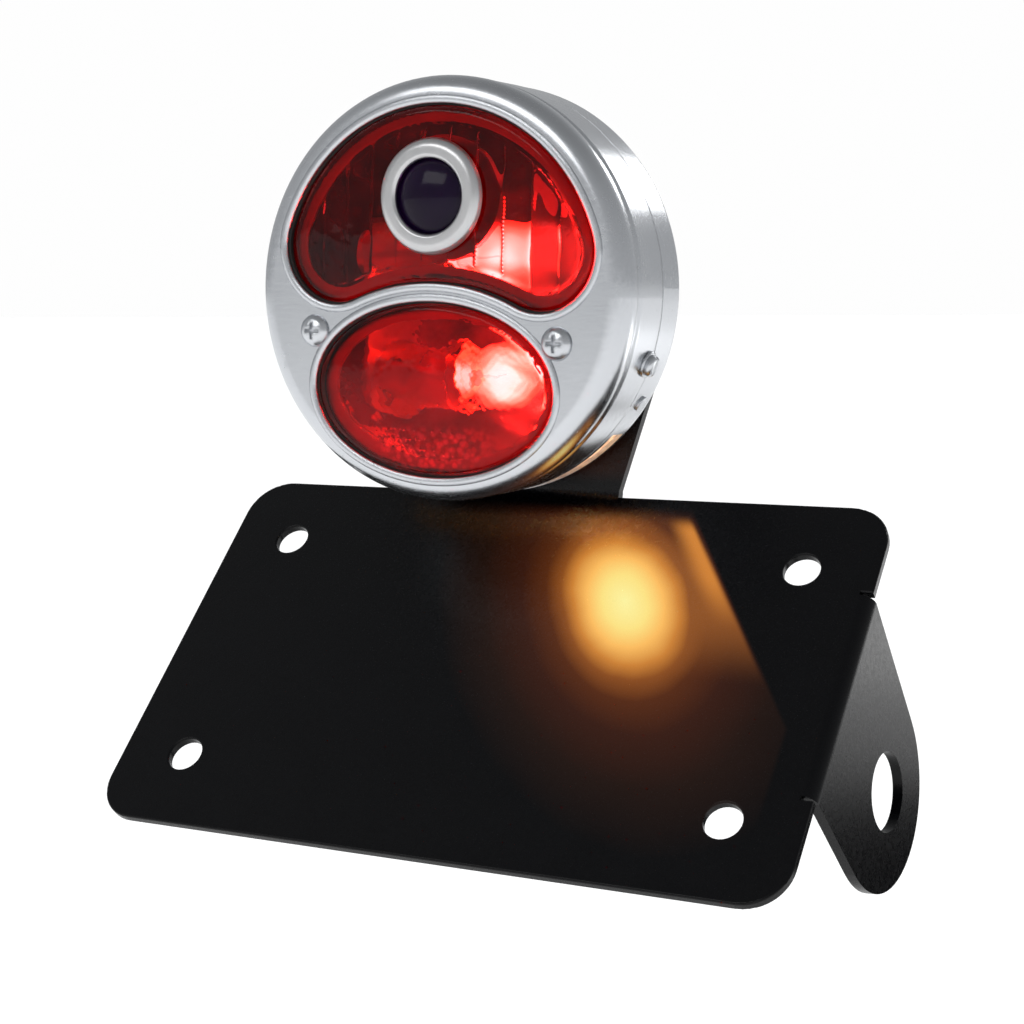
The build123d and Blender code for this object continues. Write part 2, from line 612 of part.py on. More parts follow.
def socket_bracket():
    """Angle sheet that stands off the housing's back and carries both sockets."""
    face_x = TIP_X + BRACKET_S
    low = BULBS["tail"] - BRACKET_MARGIN
    high = BULBS["stop"] + BRACKET_MARGIN
    deep = BACK_INSIDE - BRACKET_FRONT
    wall = Pos(face_x + BRACKET_SHEET / 2, BRACKET_FRONT + deep / 2, (low + high) / 2)
    wall = wall * Box(BRACKET_SHEET, deep, high - low)
    wall = fillet(wall.edges().filter_by(Axis.X).sort_by(Axis.Y)[:2], BRACKET_CORNER_R)
    foot = Pos(face_x - BRACKET_FOOT / 2, BACK_INSIDE - BRACKET_SHEET / 2, (low + high) / 2)
    angle = wall + foot * Box(BRACKET_FOOT, BRACKET_SHEET, high - low)
    for z in BULBS.values():
        angle -= Pos(face_x, BULB_DEPTH, z) * Rot(0, 90, 0) * Cylinder(SHELL_R, DRILL)
        angle -= Pos(face_x - FOOT_RIVET_IN, BACK_INSIDE, z) * Rot(90, 0, 0) * Cylinder(RIVET_R, DRILL)
    return angle


def bracket_rivets():
    """Domed tubular rivets through the socket bracket's foot, flush under the rubber pad."""
    top = BACK_INSIDE - BRACKET_SHEET
    rivet = turned([(0, top - 1.1), (1.8, top - 0.9), (2.9, top), (RIVET_R, top), (RIVET_R, BACK_INSIDE),
                    (0, BACK_INSIDE)])
    rivet_x = TIP_X + BRACKET_S - FOOT_RIVET_IN
    return Compound(children=[Pos(rivet_x, 0, z) * rivet for z in BULBS.values()])


# ---- one bulb in its socket, along +X from the contact tip ---------------------------------
def socket_shell():
    """Brass-lined tube with two slots that lock the bulb's pins."""
    shell = turned_on_x([(SHELL_START, 5.0), (SHELL_START, SHELL_R), (SHELL_END, SHELL_R),
                         (SHELL_END, SHELL_IN_R), (SHELL_START + SHELL_FLOOR, SHELL_IN_R),
                         (SHELL_START + SHELL_FLOOR, 5.0)])
    room = math.degrees(math.asin((PIN_R + 0.15) / SHELL_R))
    low = PIN_S - PRESS - PIN_R - 0.1
    high = PIN_S + PIN_R + 0.1
    lock = sector(6.5, 10, 90 - room, TWIST + 2 * room)
    lock = extrude(Plane.YZ.offset(low) * lock, amount=high - low)
    lead = Pos((high + SHELL_END) / 2, 0, 8.3) * Box(SHELL_END - high + 1.0, 2 * PIN_R + 0.4, 3.0)
    slot = lock + Rot(TWIST, 0, 0) * lead
    return shell - slot - Rot(180, 0, 0) * slot


def plunger_disc():
    """Fibre disc that slides in the shell under the bulb."""
    outer = SHELL_IN_R - 0.25
    back = PLUNGER_FACE - PLUNGER_THICK
    return turned_on_x([(back, 1.6), (back, outer), (PLUNGER_FACE, outer), (PLUNGER_FACE, 1.6)])


def plunger_contact():
    """Brass rivet through the fibre disc."""
    back = PLUNGER_FACE - PLUNGER_THICK
    return turned_on_x([(back - 0.8, 0), (back - 0.8, 2.6), (back, 2.6), (back, 1.6), (PLUNGER_FACE, 1.6),
                        (PLUNGER_FACE, 2.6), (-0.3, 2.2), (0, 1.2), (0, 0)])


def socket_spring():
    """Coil spring between the shell's closed end and the fibre disc."""
    start_x = SHELL_START + SHELL_FLOOR + SPRING_WIRE_R
    length = PLUNGER_FACE - PLUNGER_THICK - SPRING_WIRE_R - start_x
    path = Helix(pitch=length / SPRING_TURNS, height=length, radius=SPRING_COIL_R)
    coil = sweep(Plane(origin=path @ 0, z_dir=path % 0) * Circle(SPRING_WIRE_R), path=path)
    return Pos(start_x, 0, 0) * Rot(0, 90, 0) * coil


def bulb_base():
    """Brass cap with its two locking pins."""
    inside = BASE_R - BASE_WALL
    cap = turned_on_x([(BASE_START, 4.6), (BASE_START, 6.9), (BASE_START + 0.7, BASE_R), (BASE_END, BASE_R),
                       (BASE_END, inside), (BASE_START + 1.0, inside), (BASE_START + 1.0, 4.6)])
    pins = Cylinder(PIN_R, 2 * PIN_REACH) - Rot(0, 90, 0) * Cylinder(inside, 6)
    return cap + Pos(PIN_S, 0, 0) * pins


def bulb_insulator():
    """Black glass button at the end of the cap."""
    end = BASE_START + 1.0
    return turned_on_x([(1.0, 1.8), (1.0, 4.0), (2.2, 4.6), (end, 4.6), (end, 1.8)])


def bulb_contact():
    """Solder tip."""
    end = BASE_START + 1.0
    return turned_on_x([(0, 0), (0.05, 1.0), (0.6, 1.8), (end, 1.8), (end, 0)])


def globe_and_neck(shrink):
    """The globe on its neck, smaller all round by some distance."""
    start = BASE_END - 3.0 + shrink
    neck = Pos((start + GLOBE_S) / 2, 0, 0) * Rot(0, 90, 0) * Cylinder(GLASS_NECK_R - shrink, GLOBE_S - start)
    return Pos(GLOBE_S, 0, 0) * Sphere(GLOBE_R - shrink) + neck


def bulb_glass():
    """Round hollow globe, its neck cemented into the cap."""
    return globe_and_neck(0) - globe_and_neck(GLASS_WALL)


def bulb_filament():
    """Glass stem, two support wires and the filament between them."""
    top = GLOBE_S - 1.0
    wire_start = BASE_END + 1.0
    frame = Pos(BASE_END, 0, 0) * Rot(0, 90, 0) * Cylinder(2.2, 4.6)
    for side in (-1, 1):
        wire = Rot(0, 90, 0) * Cylinder(FILAMENT_WIRE_R, top - wire_start)
        frame += Pos((wire_start + top) / 2, side * 1.6, 0) * wire
    return frame + Pos(top, 0, 0) * Rot(90, 0, 0) * Cylinder(0.45, 3.7)


door_pieces = {
    "upper_gasket": lens_gasket(kidney),
    "lower_gasket": lens_gasket(oval),
    "upper_lens": upper_lens(),
    "lower_lens": lower_lens(),
    "blue_dot_bezel": blue_dot_bezel(),
    "blue_dot_gem": blue_dot_gem(),
    "blue_dot_seal": blue_dot_seal(),
    "blue_dot_nut": blue_dot_nut(),
    "lens_retainer": lens_retainer(),
    "lens_screws": lens_screws(),
    "lens_nuts": lens_nuts(),
}
lamp_pieces = {
    "lens_door": lens_door(),
    "lamp_housing": lamp_housing(),
    "window_lens": window_lens(),
    "window_retainer": window_retainer(),
    "window_rivets": window_rivets(),
    "door_screws": door_screws(),
    "door_screw_washers": door_screw_washers(),
    "door_screw_nuts": door_screw_nuts(),
    "mount_pad": mount_pad(),
    "mounting_studs": mounting_studs(),
    "flat_washers": flat_washers(),
    "lock_washers": lock_washers(),
    "hex_nuts": hex_nuts(),
    "wire_grommet": wire_grommet(),
    "socket_bracket": socket_bracket(),
    "bracket_rivets": bracket_rivets(),
}
bulb_pieces = {
    "socket_shell": socket_shell(),
    "socket_spring": socket_spring(),
    "plunger_disc": plunger_disc(),
    "plunger_contact": plunger_contact(),
    "bulb_base": bulb_base(),
    "bulb_insulator": bulb_insulator(),
    "bulb_contact": bulb_contact(),
    "bulb_glass": bulb_glass(),
    "bulb_filament": bulb_filament(),
}

os.makedirs("parts", exist_ok=True)
export_step(mounting_bracket(), "parts/mounting_bracket.step")
for name, piece in lamp_pieces.items():
    export_step(lamp_place * piece, f"parts/{name}.step")
for name, piece in door_pieces.items():
    export_step(lamp_place * Rot(0, DOOR_ROLL, 0) * piece, f"parts/{name}.step")
for lamp, bulb_z in BULBS.items():
    bulb_place = lamp_place * Location((TIP_X, BULB_DEPTH, bulb_z))
    for name, piece in bulb_pieces.items():
        export_step(bulb_place * piece, f"parts/{lamp}_{name}.step")
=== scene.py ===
"""Looks, lights and camera for the motorcycle tail light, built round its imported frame.

Metres. Lens and lamp outlines are given in the lamp's own millimetres, seen from the front:
x to the right and z up from the lamp's axis, depth behind the door's face.
"""
import json
import math

import bmesh
import bpy
from mathutils import Matrix, Vector
from mathutils.geometry import delaunay_2d_cdt


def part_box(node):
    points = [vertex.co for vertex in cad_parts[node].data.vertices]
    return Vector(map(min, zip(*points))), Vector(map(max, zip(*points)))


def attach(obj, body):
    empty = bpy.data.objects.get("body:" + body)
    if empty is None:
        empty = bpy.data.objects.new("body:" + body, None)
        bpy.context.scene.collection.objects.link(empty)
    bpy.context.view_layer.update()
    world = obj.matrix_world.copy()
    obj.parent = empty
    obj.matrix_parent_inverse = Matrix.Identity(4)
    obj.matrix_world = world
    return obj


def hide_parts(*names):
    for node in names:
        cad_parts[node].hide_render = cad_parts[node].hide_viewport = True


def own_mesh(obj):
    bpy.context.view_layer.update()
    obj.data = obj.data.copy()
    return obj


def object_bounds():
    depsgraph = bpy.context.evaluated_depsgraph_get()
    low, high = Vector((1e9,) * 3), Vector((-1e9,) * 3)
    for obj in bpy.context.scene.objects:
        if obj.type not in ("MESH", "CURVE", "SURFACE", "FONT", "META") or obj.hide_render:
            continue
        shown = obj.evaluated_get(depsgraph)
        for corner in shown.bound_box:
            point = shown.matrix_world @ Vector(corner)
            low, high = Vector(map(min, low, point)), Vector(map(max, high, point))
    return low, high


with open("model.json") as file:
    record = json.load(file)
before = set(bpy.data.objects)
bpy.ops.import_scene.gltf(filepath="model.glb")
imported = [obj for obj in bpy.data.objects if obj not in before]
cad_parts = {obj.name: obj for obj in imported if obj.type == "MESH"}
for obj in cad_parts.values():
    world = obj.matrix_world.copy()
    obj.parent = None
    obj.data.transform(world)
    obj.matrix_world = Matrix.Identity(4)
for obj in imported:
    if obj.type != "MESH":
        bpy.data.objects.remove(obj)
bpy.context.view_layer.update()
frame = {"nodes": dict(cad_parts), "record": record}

MM = 0.001
mounts = {mount["name"]: mount for mount in frame["record"]["mounts"]}
plate_centre = Vector(mounts["plate_face"]["pos_m"])
plate_normal = Vector(mounts["plate_face"]["axis"])
plate_up = Vector((0, plate_normal.z, -plate_normal.y))


def middle(node):
    low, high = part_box(node)
    return (low + high) / 2


door_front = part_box("lens_door")[0].y
door_middle = middle("lens_door")
lamp_face = Vector((door_middle.x, door_front, door_middle.z))
dot_offset = middle("blue_dot_bezel") - lamp_face
DOOR_ROLL = math.atan2(dot_offset.x, dot_offset.z)
lamp_place = Matrix.Translation(lamp_face)
door_place = lamp_place @ Matrix.Rotation(DOOR_ROLL, 4, "Y")

# ---- lens outlines, millimetres in the door's frame ----------------------------------------
LOBE_R = 14.9                # upper opening: round ends, and the centre of its lower arc
LOBE_X = 28.8
LOBE_Z = 10.2
SADDLE_Z = -52.7
OVAL_A = 34.0
OVAL_B = 21.9
OVAL_Z = -24.6
LENS_SEAT = 2.2              # depths of a lens flange's front and back
LENS_BACK = 4.2
LENS_LAP = 1.8               # flange beyond the opening
CROWN_EDGE = -0.9            # crown's side wall, inside the opening
LENS_DOME_R = 350.0
LENS_CROWN = 1.5
DOT_Z = math.hypot(dot_offset.x, dot_offset.z) / MM
DOT_HOLE_R = 11.7
DOT_GLASS_R = 10.1
DOT_BEZEL_R = 14.2
DOT_SLEEVE_R = 11.6
DOT_PROUD = 4.6
HUB_R = 0.02                 # a turned piece closes on its axis at this radius

# ---- shader building -----------------------------------------------------------------------


class Look:
    """A material whose nodes are added one by one to its Principled shader."""

    def __init__(self, name, **sockets):
        self.material = bpy.data.materials.new("look_" + name)
        self.material.use_nodes = True
        self.tree = self.material.node_tree
        self.shader = self.tree.nodes["Principled BSDF"]
        for socket, value in sockets.items():
            self.shader.inputs[socket.replace("_", " ")].default_value = value
        self.coords = self.tree.nodes.new("ShaderNodeTexCoord").outputs["Object"]

    def link(self, source, target):
        self.tree.links.new(source, target)

    def feed(self, node, index, value):
        """Sets an input to a number, or links it to another node's output."""
        if isinstance(value, bpy.types.NodeSocket):
            self.link(value, node.inputs[index])
        else:
            node.inputs[index].default_value = value

    def math(self, operation, *values):
        node = self.tree.nodes.new("ShaderNodeMath")
        node.operation = operation
        for index, value in enumerate(values):
            self.feed(node, index, value)
        return node.outputs[0]

    def product(self, first, *others):
        """Several factors multiplied together."""
        for other in others:
            first = self.math("MULTIPLY", first, other)
        return first

    def length(self, first, second):
        """Length of the vector that two values make."""
        return self.math("SQRT", self.math("ADD", self.product(first, first), self.product(second, second)))

    def noise(self, scale, detail=3.0, roughness=0.5, coords=None):
        node = self.tree.nodes.new("ShaderNodeTexNoise")
        node.inputs["Scale"].default_value = scale
        node.inputs["Detail"].default_value = detail
        node.inputs["Roughness"].default_value = roughness
        self.link(coords or self.coords, node.inputs["Vector"])
        return node.outputs["Fac"]

    def cells(self, scale):
        """Distance from the nearest of many scattered points."""
        node = self.tree.nodes.new("ShaderNodeTexVoronoi")
        node.inputs["Scale"].default_value = scale
        self.link(self.coords, node.inputs["Vector"])
        return node.outputs["Distance"]

    def stretched(self, x, y, z):
        """The coordinates multiplied along each axis, for brushed or streaked grain."""
        node = self.tree.nodes.new("ShaderNodeVectorMath")
        node.operation = "MULTIPLY"
        self.link(self.coords, node.inputs[0])
        node.inputs[1].default_value = (x, y, z)
        return node.outputs[0]

    def along(self, direction, origin):
        """Distance along a direction from a point, in millimetres."""
        shift = self.tree.nodes.new("ShaderNodeVectorMath")
        shift.operation = "SUBTRACT"
        self.link(self.coords, shift.inputs[0])
        shift.inputs[1].default_value = origin
        dot = self.tree.nodes.new("ShaderNodeVectorMath")
        dot.operation = "DOT_PRODUCT"
        self.link(shift.outputs[0], dot.inputs[0])
        dot.inputs[1].default_value = Vector(direction) / MM
        return dot.outputs["Value"]

    def ramp(self, value, stops):
        node = self.tree.nodes.new("ShaderNodeValToRGB")
        elements = node.color_ramp.elements
        while len(elements) < len(stops):
            elements.new(0.5)
        for element, (place, colour) in zip(elements, stops):
            element.position = place
            element.color = (*colour, 1.0)
        self.link(value, node.inputs[0])
        return node.outputs["Color"]

    def span(self, value, low, high, out_low=0.0, out_high=1.0, smooth=False):
        """Maps the stretch from low to high on another, and stays at its ends beyond them."""
        node = self.tree.nodes.new("ShaderNodeMapRange")
        node.interpolation_type = "SMOOTHSTEP" if smooth else "LINEAR"
        self.link(value, node.inputs["Value"])
        node.inputs["From Min"].default_value = low
        node.inputs["From Max"].default_value = high
        node.inputs["To Min"].default_value = out_low
        node.inputs["To Max"].default_value = out_high
        return node.outputs["Result"]

    def fade(self, value, low, high):
        """0 at low and 1 at high, eased at both ends."""
        return self.span(value, low, high, smooth=True)

    def mix(self, factor, first, second, blend="MIX"):
        node = self.tree.nodes.new("ShaderNodeMix")
        node.data_type = "RGBA"
        node.blend_type = blend
        node.clamp_factor = False
        self.feed(node, 0, factor)
        self.feed(node, 6, first)
        self.feed(node, 7, second)
        return node.outputs[2]

    def facing(self):
        """0 where a surface faces the viewer and 1 at its outline."""
        return self.tree.nodes.new("ShaderNodeLayerWeight").outputs["Facing"]

    def bevel_normal(self, radius, samples):
        node = self.tree.nodes.new("ShaderNodeBevel")
        node.samples = samples
        node.inputs["Radius"].default_value = radius
        return node.outputs[0]

    def edges(self, radius=0.0006):
        """1 on flat surfaces and less on worn, convex edges."""
        geometry = self.tree.nodes.new("ShaderNodeNewGeometry")
        dot = self.tree.nodes.new("ShaderNodeVectorMath")
        dot.operation = "DOT_PRODUCT"
        self.link(self.bevel_normal(radius, 4), dot.inputs[0])
        self.link(geometry.outputs["Normal"], dot.inputs[1])
        return dot.outputs["Value"]

    def round_edges(self, radius):
        """Shades sharp edges as if rolled over."""
        self.link(self.bevel_normal(radius, 6), self.shader.inputs["Normal"])

    def bump(self, height, distance, strength=1.0):
        node = self.tree.nodes.new("ShaderNodeBump")
        node.inputs["Strength"].default_value = strength
        node.inputs["Distance"].default_value = distance
        previous = self.shader.inputs["Normal"]
        if previous.is_linked:
            self.link(previous.links[0].from_socket, node.inputs["Normal"])
        self.link(height, node.inputs["Height"])
        self.link(node.outputs[0], previous)

    def set(self, socket, value):
        self.link(value, self.shader.inputs[socket])


# ---- materials -----------------------------------------------------------------------------
BLACK = (0.0, 0.0, 0.0, 1.0)
STEEL_DARK = (0.545, 0.562, 0.59, 1.0)
STEEL_PALE = (0.61, 0.625, 0.65, 1.0)
STEEL_ROUND = 0.0011         # metres
CUP_WALL_R = 50.7            # the housing is polished beyond this radius and depth, millimetres
CUP_FLOOR = 33.0

# Warm light on the plate, in millimetres across and up from its centre.
POOL_ACROSS = 31.0
POOL_UP = 22.0
POOL_LEAN = 0.41             # the pool is a slanting oval
POOL_FLAT = 0.75
POOL_TILT = 0.05
POOL_REACH = 53.0
POOL_STOPS = [(0.0, (0.97, 0.90, 0.36)), (0.12, (0.97, 0.76, 0.23)), (0.2, (0.96, 0.50, 0.115)),
              (0.27, (0.60, 0.22, 0.035)), (0.33, (0.25, 0.072, 0.012)), (0.41, (0.088, 0.021, 0.0045)),
              (0.54, (0.036, 0.0085, 0.0030)), (0.75, (0.012, 0.004, 0.0016)), (1.0, (0.0, 0.0, 0.0))]
BEAM_UP = (-10.0, 50.0)      # the beam's straight edge runs between these heights
BEAM_ACROSS = (80.1, 39.6)   # and these places
BEAM_GLOW = (0.27, 0.085, 0.017, 1.0)
RIDGE_GLOW = (0.62, 0.22, 0.035, 1.0)
TAB_SPILL = Vector((0.028, 0, -0.052))
TAB_GLOW = (0.012, 0.0035, 0.0016, 1.0)


def lit_plate(look):
    """Warm pool of light that the tail bulb throws on the plate through the window."""
    across = look.along((1, 0, 0), plate_centre)
    up = look.along(plate_up, plate_centre)
    off_plate = look.along(plate_normal, plate_centre)
    from_x = look.math("SUBTRACT", across, POOL_ACROSS)
    from_y = look.math("SUBTRACT", up, POOL_UP)
    pool_x = look.math("ADD", from_x, look.product(from_y, POOL_LEAN))
    pool_y = look.math("SUBTRACT", look.product(from_y, POOL_FLAT), look.product(from_x, POOL_TILT))
    wobble = look.product(look.math("SUBTRACT", look.noise(55.0, 2.0), 0.5), 3.0)
    radius = look.math("ADD", look.length(pool_x, pool_y), wobble)
    pool = look.ramp(look.span(radius, 0.0, POOL_REACH), POOL_STOPS)

    past_edge = look.math("SUBTRACT", across, look.span(up, *BEAM_UP, *BEAM_ACROSS))
    beam = look.product(look.fade(past_edge, 1.2, -0.6), look.fade(pool_x, 2.0, 10.0),
                        look.fade(up, 0.0, 22.0), look.fade(up, 46.0, 30.0))
    ridge = look.product(look.fade(past_edge, 0.6, -1.2), look.fade(past_edge, -8.0, -1.6),
                         look.fade(up, 15.0, 32.0), look.fade(up, 50.0, 44.0))
    glow = look.mix(beam, pool, BEAM_GLOW, "LIGHTEN")
    glow = look.mix(ridge, glow, RIDGE_GLOW, "LIGHTEN")
    on_face = look.product(look.fade(past_edge, 1.8, 0.2), look.fade(up, 52.0, 46.0),
                           look.span(look.math("ABSOLUTE", off_plate), 0.9, 0.3))
    return look.mix(on_face, lit_tab(look, off_plate), glow)


def lit_tab(look, off_plate):
    """A trace of the same light on the upright tab, clear of the plate."""
    centre = lamp_face + TAB_SPILL
    reach = look.length(look.along((1, 0, 0), centre), look.along((0, 0, 1), centre))
    on_tab = look.product(look.span(off_plate, 2.5, 5.0), look.fade(reach, 26.0, 2.0))
    return look.mix(on_tab, BLACK, TAB_GLOW)


def black_powder_coat():
    """Semi-gloss powder coat with fine orange peel, and edges polished by handling."""
    look = Look("black_powder_coat", Specular_IOR_Level=0.16, Emission_Strength=1.0)
    mottling = look.noise(90.0, 4.0)
    look.set("Base Color", look.mix(mottling, (0.0006, 0.0006, 0.0010, 1.0), (0.0014, 0.0015, 0.0020, 1.0)))
    gloss = look.span(look.noise(700.0, 2.0), 0.3, 0.7, 0.24, 0.31)
    wear = look.span(look.edges(), 1.0, 0.90, 0.0, -0.06)
    look.set("Roughness", look.math("ADD", gloss, wear))
    look.bump(look.noise(1500.0, 3.0, 0.6), 0.00006, 0.35)
    look.set("Emission Color", lit_plate(look))
    return look.material


def steel_colour(look, haze):
    return look.mix(haze, STEEL_DARK, STEEL_PALE)


def brushed_grain(look):
    return look.noise(900.0, 3.0, 0.6, look.stretched(0.25, 1.6, 1.0))


def polished_stainless():
    """Buffed stainless: faint polishing swirls, a little haze and fine scratches."""
    look = Look("polished_stainless", Metallic=1.0)
    haze = look.noise(38.0, 4.0)
    grain = brushed_grain(look)
    look.set("Base Color", steel_colour(look, haze))
    look.set("Roughness", look.math("ADD", look.span(grain, 0.3, 0.7, 0.19, 0.27),
                                    look.span(haze, 0.3, 0.7, -0.02, 0.03)))
    look.round_edges(STEEL_ROUND)
    look.bump(grain, 0.000025, 0.25)
    return look.material


def housing_steel():
    """Polished outside, and unpolished inside the cup, where painted shade darkens the steel towards the top
    and painted light brightens it towards the bottom.
    """
    look = Look("housing_steel", Metallic=1.0)
    bright = steel_colour(look, look.noise(38.0, 4.0))
    mottling = look.noise(70.0, 4.0)
    # Inside the cup: painted shade as darker steel towards the top, and painted light as lighter steel
    # towards the bottom, both with a random mottle.
    upper_painted_shade = look.mix(mottling, (0.03, 0.027, 0.025, 1.0), (0.09, 0.083, 0.076, 1.0))
    lower_painted_light = look.mix(mottling, (0.22, 0.21, 0.20, 1.0), (0.40, 0.38, 0.36, 1.0))
    across = look.along((1, 0, 0), lamp_face)
    up = look.along((0, 0, 1), lamp_face)
    depth = look.along((0, 1, 0), lamp_face)
    # Inside colour fades from the painted shade at the top to the painted light at the bottom.
    inside_painted_light_and_shade = look.mix(look.fade(up, -2.0, -22.0), upper_painted_shade, lower_painted_light)
    outside = look.math("MAXIMUM", look.math("GREATER_THAN", look.length(across, up), CUP_WALL_R),
                        look.math("GREATER_THAN", depth, CUP_FLOOR))
    look.set("Base Color", look.mix(outside, inside_painted_light_and_shade, bright))
    grain = brushed_grain(look)
    look.set("Roughness", look.math("SUBTRACT", look.span(grain, 0.3, 0.7, 0.42, 0.50),
                                    look.product(outside, 0.22)))
    look.bump(grain, 0.000025, 0.25)
    return look.material


def zinc_steel():
    """Clear zinc plating: pale grey with a faint yellow and blue passivate mottle."""
    look = Look("zinc_steel", Metallic=1.0)
    mottling = look.noise(240.0, 5.0, 0.6)
    look.set("Base Color", look.ramp(mottling, [(0.30, (0.50, 0.51, 0.55)), (0.5, (0.62, 0.62, 0.61)),
                                                (0.72, (0.66, 0.62, 0.52))]))
    look.set("Roughness", look.span(mottling, 0.3, 0.7, 0.30, 0.46))
    look.bump(look.noise(1800.0, 2.0), 0.00003, 0.3)
    return look.material


def spring_steel():
    look = Look("spring_steel", Metallic=1.0)
    drawn = look.noise(700.0, 3.0, 0.5, look.stretched(1.0, 3.0, 3.0))
    look.set("Base Color", look.mix(drawn, (0.28, 0.28, 0.30, 1.0), (0.46, 0.45, 0.44, 1.0)))
    look.set("Roughness", look.span(drawn, 0.3, 0.7, 0.26, 0.42))
    look.bump(drawn, 0.00002, 0.3)
    return look.material


def satin_bezel():
    """Fine-turned nickel ring."""
    look = Look("satin_bezel", Metallic=1.0)
    haze = look.noise(120.0, 3.0)
    look.set("Base Color", look.mix(haze, (0.50, 0.50, 0.51, 1.0), (0.60, 0.60, 0.60, 1.0)))
    grain = look.noise(2600.0, 2.0)
    look.set("Roughness", look.span(grain, 0.3, 0.7, 0.28, 0.38))
    look.bump(grain, 0.00003, 0.3)
    return look.material


def ruby_glass(name):
    """Red glass, slightly wavy and dimpled, with fine dust in the surface."""
    look = Look(name, Base_Color=(0.60, 0.008, 0.011, 1.0), IOR=1.25, Transmission_Weight=1.0,
                Emission_Strength=1.0)
    dust = look.noise(1400.0, 3.0, 0.6)
    look.set("Roughness", look.span(dust, 0.45, 0.75, 0.015, 0.09))
    look.bump(look.noise(160.0, 2.0), 0.0003, 0.35)
    return look


def red_lens():
    """Upper lens, which scatters a trace of the light behind it."""
    look = ruby_glass("red_lens")
    scatter = look.fade(look.noise(75.0, 3.0, 0.6), 0.35, 0.68)
    look.set("Emission Color", look.mix(scatter, (0.004, 0.0, 0.0, 1.0), (0.02, 0.0002, 0.0003, 1.0)))
    return look.material


def lit_red_lens():
    """Lower lens, glowing with the tail bulb's light, most of all in the beads at its foot."""
    look = ruby_glass("lit_red_lens")
    across = look.along((1, 0, 0), lamp_face)
    up = look.along((0, 0, 1), lamp_face + Vector((0, 0, OVAL_Z * MM)))
    reach = look.length(look.math("DIVIDE", across, OVAL_A), look.math("DIVIDE", up, OVAL_B))
    scatter = look.span(look.noise(75.0, 3.0, 0.6), 0.35, 0.68, 0.15, 0.75, smooth=True)
    beads = look.product(look.fade(up, -8.0, -12.0), look.fade(look.math("ABSOLUTE", across), 20.0, 10.0),
                         look.span(look.cells(560.0), 0.25, 0.60, 1.6, 0.0, smooth=True))
    glow = look.product(look.fade(reach, 0.97, 0.82), look.math("ADD", scatter, beads))
    look.set("Emission Color", look.mix(glow, BLACK, (0.15, 0.0018, 0.003, 1.0)))
    return look.material


def blue_glass():
    """Deep violet-blue pressed glass."""
    look = Look("blue_glass", IOR=1.25, Transmission_Weight=0.6)
    cloud = look.noise(180.0, 2.0)
    look.set("Base Color", look.mix(cloud, (0.007, 0.002, 0.016, 1.0), (0.020, 0.005, 0.045, 1.0)))
    look.set("Roughness", look.span(look.noise(900.0, 2.0), 0.4, 0.7, 0.10, 0.20))
    return look.material


def clear_window():
    """Clear plastic window, lit warm from inside by the tail bulb."""
    look = Look("clear_window", Base_Color=(1.0, 0.86, 0.62, 1.0), IOR=1.49,
                Transmission_Weight=0.25, Emission_Strength=0.3)
    mottling = look.noise(350.0, 2.0)
    look.set("Roughness", look.span(mottling, 0.3, 0.7, 0.20, 0.32))
    look.set("Emission Color", look.mix(mottling, (1.0, 0.36, 0.08, 1.0), (1.0, 0.52, 0.16, 1.0)))
    look.bump(mottling, 0.0002, 0.3)
    return look.material


def bulb_glass(name, glow_strength):
    """Thin clear glass that glows round the lit filament, less so towards the globe's outline."""
    look = Look(name, Base_Color=(0.95, 0.96, 0.95, 1.0), IOR=1.45, Transmission_Weight=1.0,
                Emission_Strength=glow_strength)
    smear = look.noise(160.0, 3.0)
    look.set("Roughness", look.span(smear, 0.35, 0.75, 0.01, 0.10))
    look.set("Emission Color", look.ramp(look.facing(), [
        (0.0, (1.0, 0.80, 0.58)), (0.04, (0.80, 0.60, 0.42)), (0.10, (0.36, 0.22, 0.12)),
        (0.20, (0.12, 0.055, 0.022)), (0.40, (0.05, 0.02, 0.007)), (1.0, (0.025, 0.01, 0.0035))]))
    return look.material


def filament():
    look = Look("filament", Metallic=1.0)
    grain = look.noise(1500.0, 2.0)
    look.set("Base Color", look.mix(grain, (0.30, 0.29, 0.28, 1.0), (0.48, 0.47, 0.46, 1.0)))
    look.set("Roughness", look.span(grain, 0.3, 0.7, 0.32, 0.5))
    return look.material


def brass():
    look = Look("brass", Metallic=1.0)
    tarnish = look.noise(210.0, 5.0, 0.6)
    look.set("Base Color", look.ramp(tarnish, [(0.3, (0.80, 0.56, 0.22)), (0.6, (0.66, 0.43, 0.16)),
                                               (0.8, (0.42, 0.25, 0.10))]))
    look.set("Roughness", look.span(tarnish, 0.3, 0.8, 0.22, 0.5))
    look.bump(look.noise(1600.0, 2.0), 0.00003, 0.3)
    return look.material


def solder():
    look = Look("solder", Metallic=1.0)
    lumps = look.noise(900.0, 3.0)
    look.set("Base Color", look.mix(lumps, (0.42, 0.42, 0.44, 1.0), (0.62, 0.61, 0.60, 1.0)))
    look.set("Roughness", look.span(lumps, 0.3, 0.7, 0.3, 0.5))
    look.bump(lumps, 0.0001, 0.5)
    return look.material


def black_glass():
    look = Look("black_glass", Coat_Weight=0.3)
    swirl = look.noise(500.0, 3.0)
    look.set("Base Color", look.mix(swirl, (0.008, 0.007, 0.010, 1.0), (0.030, 0.024, 0.034, 1.0)))
    look.set("Roughness", look.span(swirl, 0.3, 0.7, 0.08, 0.2))
    return look.material


def fibre():
    """Red-brown vulcanised fibre."""
    look = Look("fibre")
    strands = look.noise(1300.0, 4.0, 0.7, look.stretched(1.0, 0.3, 2.0))
    look.set("Base Color", look.mix(strands, (0.16, 0.045, 0.020, 1.0), (0.30, 0.10, 0.045, 1.0)))
    look.set("Roughness", look.span(strands, 0.3, 0.7, 0.6, 0.8))
    look.bump(strands, 0.00008, 0.4)
    return look.material


